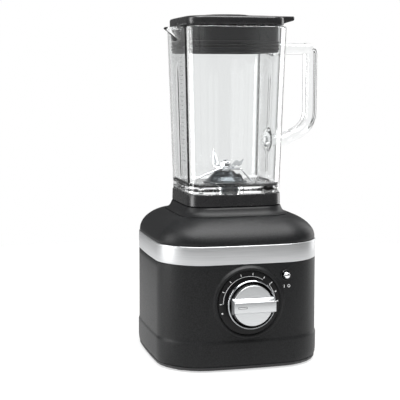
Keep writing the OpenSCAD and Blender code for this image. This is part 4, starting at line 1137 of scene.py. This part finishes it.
def build_blades():
    """Two stamped blades, the acorn nut over them and the cone of the blade carrier."""
    thick = 1.8
    layers = {"lower_blade": (BLADE_HIGH.z - thick, [(178, 9, 28, -24), (-14, 16, 24, -46)]),
              "upper_blade": (BLADE_HIGH.z, [(128, 11.5, 21, 84), (28, 13, 20, 24)])}
    for name, (z, prongs) in layers.items():
        hub = revolved(soften([(4, z), (7.5, z), (7.5, z + thick), (4, z + thick), (4, z)],
                              0.3)[:-1], 64, closed=True)
        shell = joined(hub, *[bent_blade(*prong, z) for prong in prongs])
        blade = new_object(name.replace("_", "_steel_"), shell, 22)
        finish_piece(blade, "blade", "blades", "blade_steel", name)

    nut_low, nut_high = box_mm("blade_nut")
    hexagon = [(6.6 * math.cos(TAU * k / 6), 6.6 * math.sin(TAU * k / 6)) for k in range(6)]
    rings = [np.array([(x, y, z) for x, y in hexagon]) for z in (nut_low.z, nut_low.z + 4.4)]
    nut = bevelled(new_object("acorn_nut", skin(rings), 20), 0.35)
    dome = [(0, nut_low.z + 0.5), (5.7, nut_low.z + 0.5), (5.7, nut_low.z + 4.4)]
    for i in range(1, 13):
        angle = math.pi / 2 * i / 12
        dome.append((5.7 * math.cos(angle),
                     nut_low.z + 4.4 + (nut_high.z - nut_low.z - 4.4) * math.sin(angle)))
    dome[-1] = (0, nut_high.z)
    nut = merged(nut, new_object("dome", revolved(dome, 64), 30))
    finish_piece(nut, "chrome", "blades", "blade_steel", "blade_nut")

    low, top = CARRIER_LOW.z, CARRIER_HIGH.z
    floor = bpy.context.scene.blender_jar.floor_z
    section = soften([(11, low), (16, low), (16, floor + 1), (27, floor + 1), (27, floor + 2.2),
                      (22.5, floor + 3.4), (19, floor + 9), (13.5, top - 1), (12.5, top),
                      (11, top), (11, low)], 0.7)[:-1]
    carrier = new_object("carrier_cone", revolved(section, 128, closed=True), 30)
    finish_piece(carrier, "anodised", "jar", "carrier_metal", "blade_carrier")


# ---------------------------------------------------------------- lid


def build_lid():
    """Lid shell with a crowned top and the lifting tab over the handle."""
    sizes = bpy.context.scene.blender_lid
    half, r = sizes.half, sizes.corner
    low = LID_LOW.z
    top = low + LID_RIM
    stations = [(half - 1.4, r - 1, low), (half - 0.5, r - 0.3, low + 0.3), (half, r, low + 1.2),
                (half + 0.1, r, top - 3), (half - 0.1, r, top - 1.7), (half - 0.7, r, top - 0.7),
                (half - 2, r - 0.5, top - 0.1), (half - 5, r, top + 0.25),
                (half - 12, r, top + 0.9), (half - 20, r, top + 1.35), (26.5, 18, top + 1.6)]
    inner = [(half - 3, r - 3, top - 2.8), (half - 3, r - 3, low)]
    rings = [square_ring(h, min(c, h - 0.02), z, 1.7) for h, c, z in stations]
    rings += [round_ring(THROAT_R, z) for z in (top + 1.6, top - 1, top - 2.8)]
    rings += [square_ring(h, c, z, 1.7) for h, c, z in inner]
    shell = new_object("shell", skin(rings, closed=True), 32)
    tab_x, tab_low, tab_top = LID_HIGH.x, top - 2.6, top + 2.2
    edge = []
    for i in range(25):
        angle = math.radians(-31.6 + 63.2 * i / 24)
        edge.append((tab_x - 40 + 40 * math.cos(angle), 40 * math.sin(angle)))
    edge += [(half - 8, 20.8), (half - 8, -20.8)]
    root = half - 8
    rings = []
    for reach, shrink, z in ((0.5, 0.9, tab_low - 5), (0.62, 0.95, tab_low - 3.4),
                             (0.8, 0.97, tab_low - 1.6), (0.96, 0.985, tab_low - 0.2),
                             (0.99, 0.993, tab_low + 0.5), (1, 1, tab_low + 1.4),
                             (1, 1, tab_top - 1.4), (0.993, 0.993, tab_top - 0.5),
                             (0.975, 0.975, tab_top)):
        rings.append(np.array([(root + (x - root) * reach, y * shrink, z) for x, y in edge]))
    tab = new_object("tab", skin(rings), 32)
    lid = merged(shell, tab)
    smooth(lid, 32)
    lid.name = "lid_moulding"
    finish_piece(lid, "moulding", "lid", "lid_black", "lid_cover")


def round_ring(radius, z):
    """Circle with as many points as the other sections, set out to face them."""
    p = outline(radius, radius, radius * 0.999, 0, 0)
    length = np.hypot(p[:, 0], p[:, 1])[:, None]
    return ring(p / length * radius, z)


def build_seal():
    """Rubber plug under the lid, with rounded sealing ribs."""
    sizes = bpy.context.scene.blender_lid
    half, low = sizes.seal_half, sizes.seal_foot
    rings = [square_ring(half - 1.4, 12.6, low, 1.7), square_ring(half - 0.5, 13.5, low + 0.3, 1.7),
             square_ring(half, 14, low + 1.2, 1.7)]
    for i in range(sizes.seal_ribs):
        foot = low + 3.2 + 4 * i
        for k in range(9):
            t = k / 8
            rings.append(square_ring(half + 1.5 * math.sin(math.pi * t), 14 + math.sin(math.pi * t),
                                     foot + 2.6 * t, 1.7))
    lid_foot, top = LID_SEAT_Z, PLUG_TOP_Z
    rim = sizes.half - 3.3
    rings += [square_ring(half, 14, lid_foot - 1.1, 1.7), square_ring(rim, 14.6, lid_foot + 0.3, 1.7),
              square_ring(rim, 14.6, top - 3.1, 1.7), square_ring(half - 14, 13, top - 3.1, 1.7),
              square_ring(half - 14, 13, top - 5.6, 1.7), square_ring(half - 3.5, 11, top - 5.8, 1.7),
              square_ring(half - 3.5, 11, low, 1.7)]
    seal = new_object("lid_plug", skin(rings, closed=True), 35)
    finish_piece(seal, "seal", "lid", "seal_rubber", "lid_seal")


def build_filler_cap():
    """Filler cap: a shallow dome over a hollow plug, with a softened rim."""
    low, top = FILLER_LOW.z, FILLER_HIGH.z
    outer, neck, seat = FILLER_HIGH.x, CAP_NECK_R, CAP_SEAT_Z
    section = soften([(0, low + 27.2), (neck - 2.4, low + 27.2), (neck - 2.4, low),
                      (neck, low), (neck, seat), (outer, seat), (outer, top - 1.3),
                      (outer - 3, top - 0.75), (outer * 0.5, top - 0.15), (0, top)], 0.55, 4)
    cap = new_object("cap_moulding", revolved(section, 160), 32)
    finish_piece(cap, "moulding", "cap", "lid_black", "filler_cap")


def dress_frame():
    """Gives every frame part that still shows its own material."""
    for finish, names in KEPT_PARTS.items():
        for name in names:
            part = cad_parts[name]
            for slot in part.material_slots:
                slot.material = FINISH[finish]
            if not part.material_slots:
                part.data.materials.append(FINISH[finish])


# ---------------------------------------------------------------- stage


def soft_light(name, place, target, size, power, height=None):
    """Area light that looks at a point."""
    lamp = bpy.data.lights.new(name, "AREA")
    lamp.shape = "RECTANGLE"
    lamp.size = size
    lamp.size_y = height or size
    lamp.energy = power
    made = bpy.data.objects.new(name, lamp)
    made.location = place
    made.rotation_euler = (Vector(target) - Vector(place)).to_track_quat("-Z", "Y").to_euler()
    bpy.context.scene.collection.objects.link(made)
    return made


def studio_world():
    """White backdrop; light that went through glass meets bright windows with dark gaps."""
    world = bpy.data.worlds.new("studio")
    world.use_nodes = True
    tree = world.node_tree
    path = node(tree, "ShaderNodeLightPath")
    bearing = node(tree, "ShaderNodeTexGradient", {
        "Vector": node(tree, "ShaderNodeTexCoord").outputs["Generated"]},
        gradient_type="RADIAL").outputs["Fac"]
    turn = node(tree, "ShaderNodeMath", {0: bearing, 1: WINDOWS, 2: WINDOW_PHASE},
                operation="MULTIPLY_ADD").outputs[0]
    off_centre = node(tree, "ShaderNodeMath", {0: turn, 1: 0.5}, operation="PINGPONG").outputs[0]
    window = node(tree, "ShaderNodeMapRange", {"Value": off_centre, "From Min": GAP_START,
                  "From Max": GAP_END, "To Min": 1.0, "To Max": GAP_LEVEL}).outputs["Result"]
    through = node(tree, "ShaderNodeMath", {0: window, 1: path.outputs["Is Transmission Ray"]},
                   operation="MULTIPLY").outputs[0]
    seen = node(tree, "ShaderNodeMath", {0: path.outputs["Is Camera Ray"], 1: through},
                operation="MAXIMUM").outputs[0]
    level = node(tree, "ShaderNodeMath", {0: seen, 1: ROOM_LEVEL}, operation="MAXIMUM").outputs[0]
    tree.nodes["Background"].inputs["Color"].default_value = (1, 1, 1, 1)
    tree.links.new(level, tree.nodes["Background"].inputs["Strength"])
    return world


def build_stage():
    """Pale floor, soft lights, the surroundings and the camera."""
    scene = bpy.context.scene
    floor = new_object("floor", skin([ring(outline(900, 900, 880, 0, 0, 24, 4), z)
                                      for z in (-20, -0.05)]), 40)
    paper = new_material("Pale paper", "#8C8C8C", 0.9, **{
        "Emission Color": (1, 1, 1, 1), "Emission Strength": 0.62})[0]
    floor.data.materials.append(paper)

    middle = (0, 0, 0.2)
    soft_light("overhead", (0.0, -0.55, 1.8), middle, 2.2, 105, 1.5)
    soft_light("left softbox", (-1.35, 0.12, 0.5), middle, 0.5, 15, 1.3)
    soft_light("right softbox", (1.2, 0.62, 0.5), middle, 0.6, 7, 1.3)

    scene.world = studio_world()
    scene.view_settings.view_transform = "Standard"

    lens = bpy.data.cameras.new("camera")
    lens.lens = CAMERA_LENS
    lens.sensor_width = 36
    camera = bpy.data.objects.new("camera", lens)
    camera.location = CAMERA_PLACE
    camera.rotation_euler = Vector(CAMERA_AIM).to_track_quat("-Z", "Y").to_euler()
    scene.collection.objects.link(camera)
    scene.camera = camera


# ---------------------------------------------------------------- operators


class Build:
    """What every building step shares."""
    bl_options = {"REGISTER", "UNDO"}
    steps = ()

    def execute(self, context):
        """Runs the steps in order."""
        for step in self.steps:
            step()
        return {"FINISHED"}


def mix_finishes():
    """Fills the table of finishes."""
    FINISH.update(make_finishes())


class BLENDER_OT_finishes(Build, bpy.types.Operator):
    """Makes the materials and gives them to the frame parts that stay"""
    bl_idname = "countertop.finishes"
    bl_label = "Finishes"
    steps = (mix_finishes, dress_frame)


class BLENDER_OT_casting(Build, bpy.types.Operator):
    """Builds the die-cast base and its steel band"""
    bl_idname = "countertop.casting"
    bl_label = "Base casting and band"
    steps = (build_housing, build_band)


class BLENDER_OT_dial(Build, bpy.types.Operator):
    """Builds the scale and the speed dial"""
    bl_idname = "countertop.dial"
    bl_label = "Speed dial"
    steps = (build_scale, build_dial)


class BLENDER_OT_toggle(Build, bpy.types.Operator):
    """Builds the on and off toggle"""
    bl_idname = "countertop.toggle"
    bl_label = "Toggle"
    steps = (build_toggle,)


class BLENDER_OT_jar(Build, bpy.types.Operator):
    """Builds the glass jar and its collar"""
    bl_idname = "countertop.jar"
    bl_label = "Jar and collar"
    steps = (build_jar, build_collar)


class BLENDER_OT_blades(Build, bpy.types.Operator):
    """Builds the blades, their nut and their carrier"""
    bl_idname = "countertop.blades"
    bl_label = "Blades"
    steps = (build_blades,)


class BLENDER_OT_lid(Build, bpy.types.Operator):
    """Builds the lid, its seal and the filler cap"""
    bl_idname = "countertop.lid"
    bl_label = "Lid and cap"
    steps = (build_lid, build_seal, build_filler_cap)


class BLENDER_OT_stage(Build, bpy.types.Operator):
    """Builds the backdrop, the lights and the camera"""
    bl_idname = "countertop.stage"
    bl_label = "Stage"
    steps = (build_stage,)


OPERATORS = (BLENDER_OT_finishes, BLENDER_OT_stage, BLENDER_OT_casting, BLENDER_OT_dial,
             BLENDER_OT_toggle, BLENDER_OT_jar, BLENDER_OT_blades, BLENDER_OT_lid)
SETTINGS = {"blender_base": BaseSizes, "blender_dial": DialSizes, "blender_jar": JarSizes,
            "blender_lid": LidSizes, "blender_finishes": Finishes}


class BLENDER_PT_parts(bpy.types.Panel):
    """Lists the building steps"""
    bl_label = "Countertop blender"
    bl_idname = "BLENDER_PT_parts"
    bl_space_type = "VIEW_3D"
    bl_region_type = "UI"
    bl_category = "Blender"

    def draw(self, context):
        """One button for each step."""
        for operator in OPERATORS:
            self.layout.operator(operator.bl_idname)


def register():
    """Registers the settings, the operators and the panel."""
    for name, group in SETTINGS.items():
        bpy.utils.register_class(group)
        setattr(bpy.types.Scene, name, PointerProperty(type=group))
    for operator in OPERATORS:
        bpy.utils.register_class(operator)
    bpy.utils.register_class(BLENDER_PT_parts)


def unregister():
    """Takes them away again."""
    bpy.utils.unregister_class(BLENDER_PT_parts)
    for operator in reversed(OPERATORS):
        bpy.utils.unregister_class(operator)
    for name, group in SETTINGS.items():
        delattr(bpy.types.Scene, name)
        bpy.utils.unregister_class(group)


def main():
    """Builds the whole blender."""
    register()
    for operator in OPERATORS:
        area, name = operator.bl_idname.split(".")
        getattr(getattr(bpy.ops, area), name)()


if __name__ == "__main__":
    main()
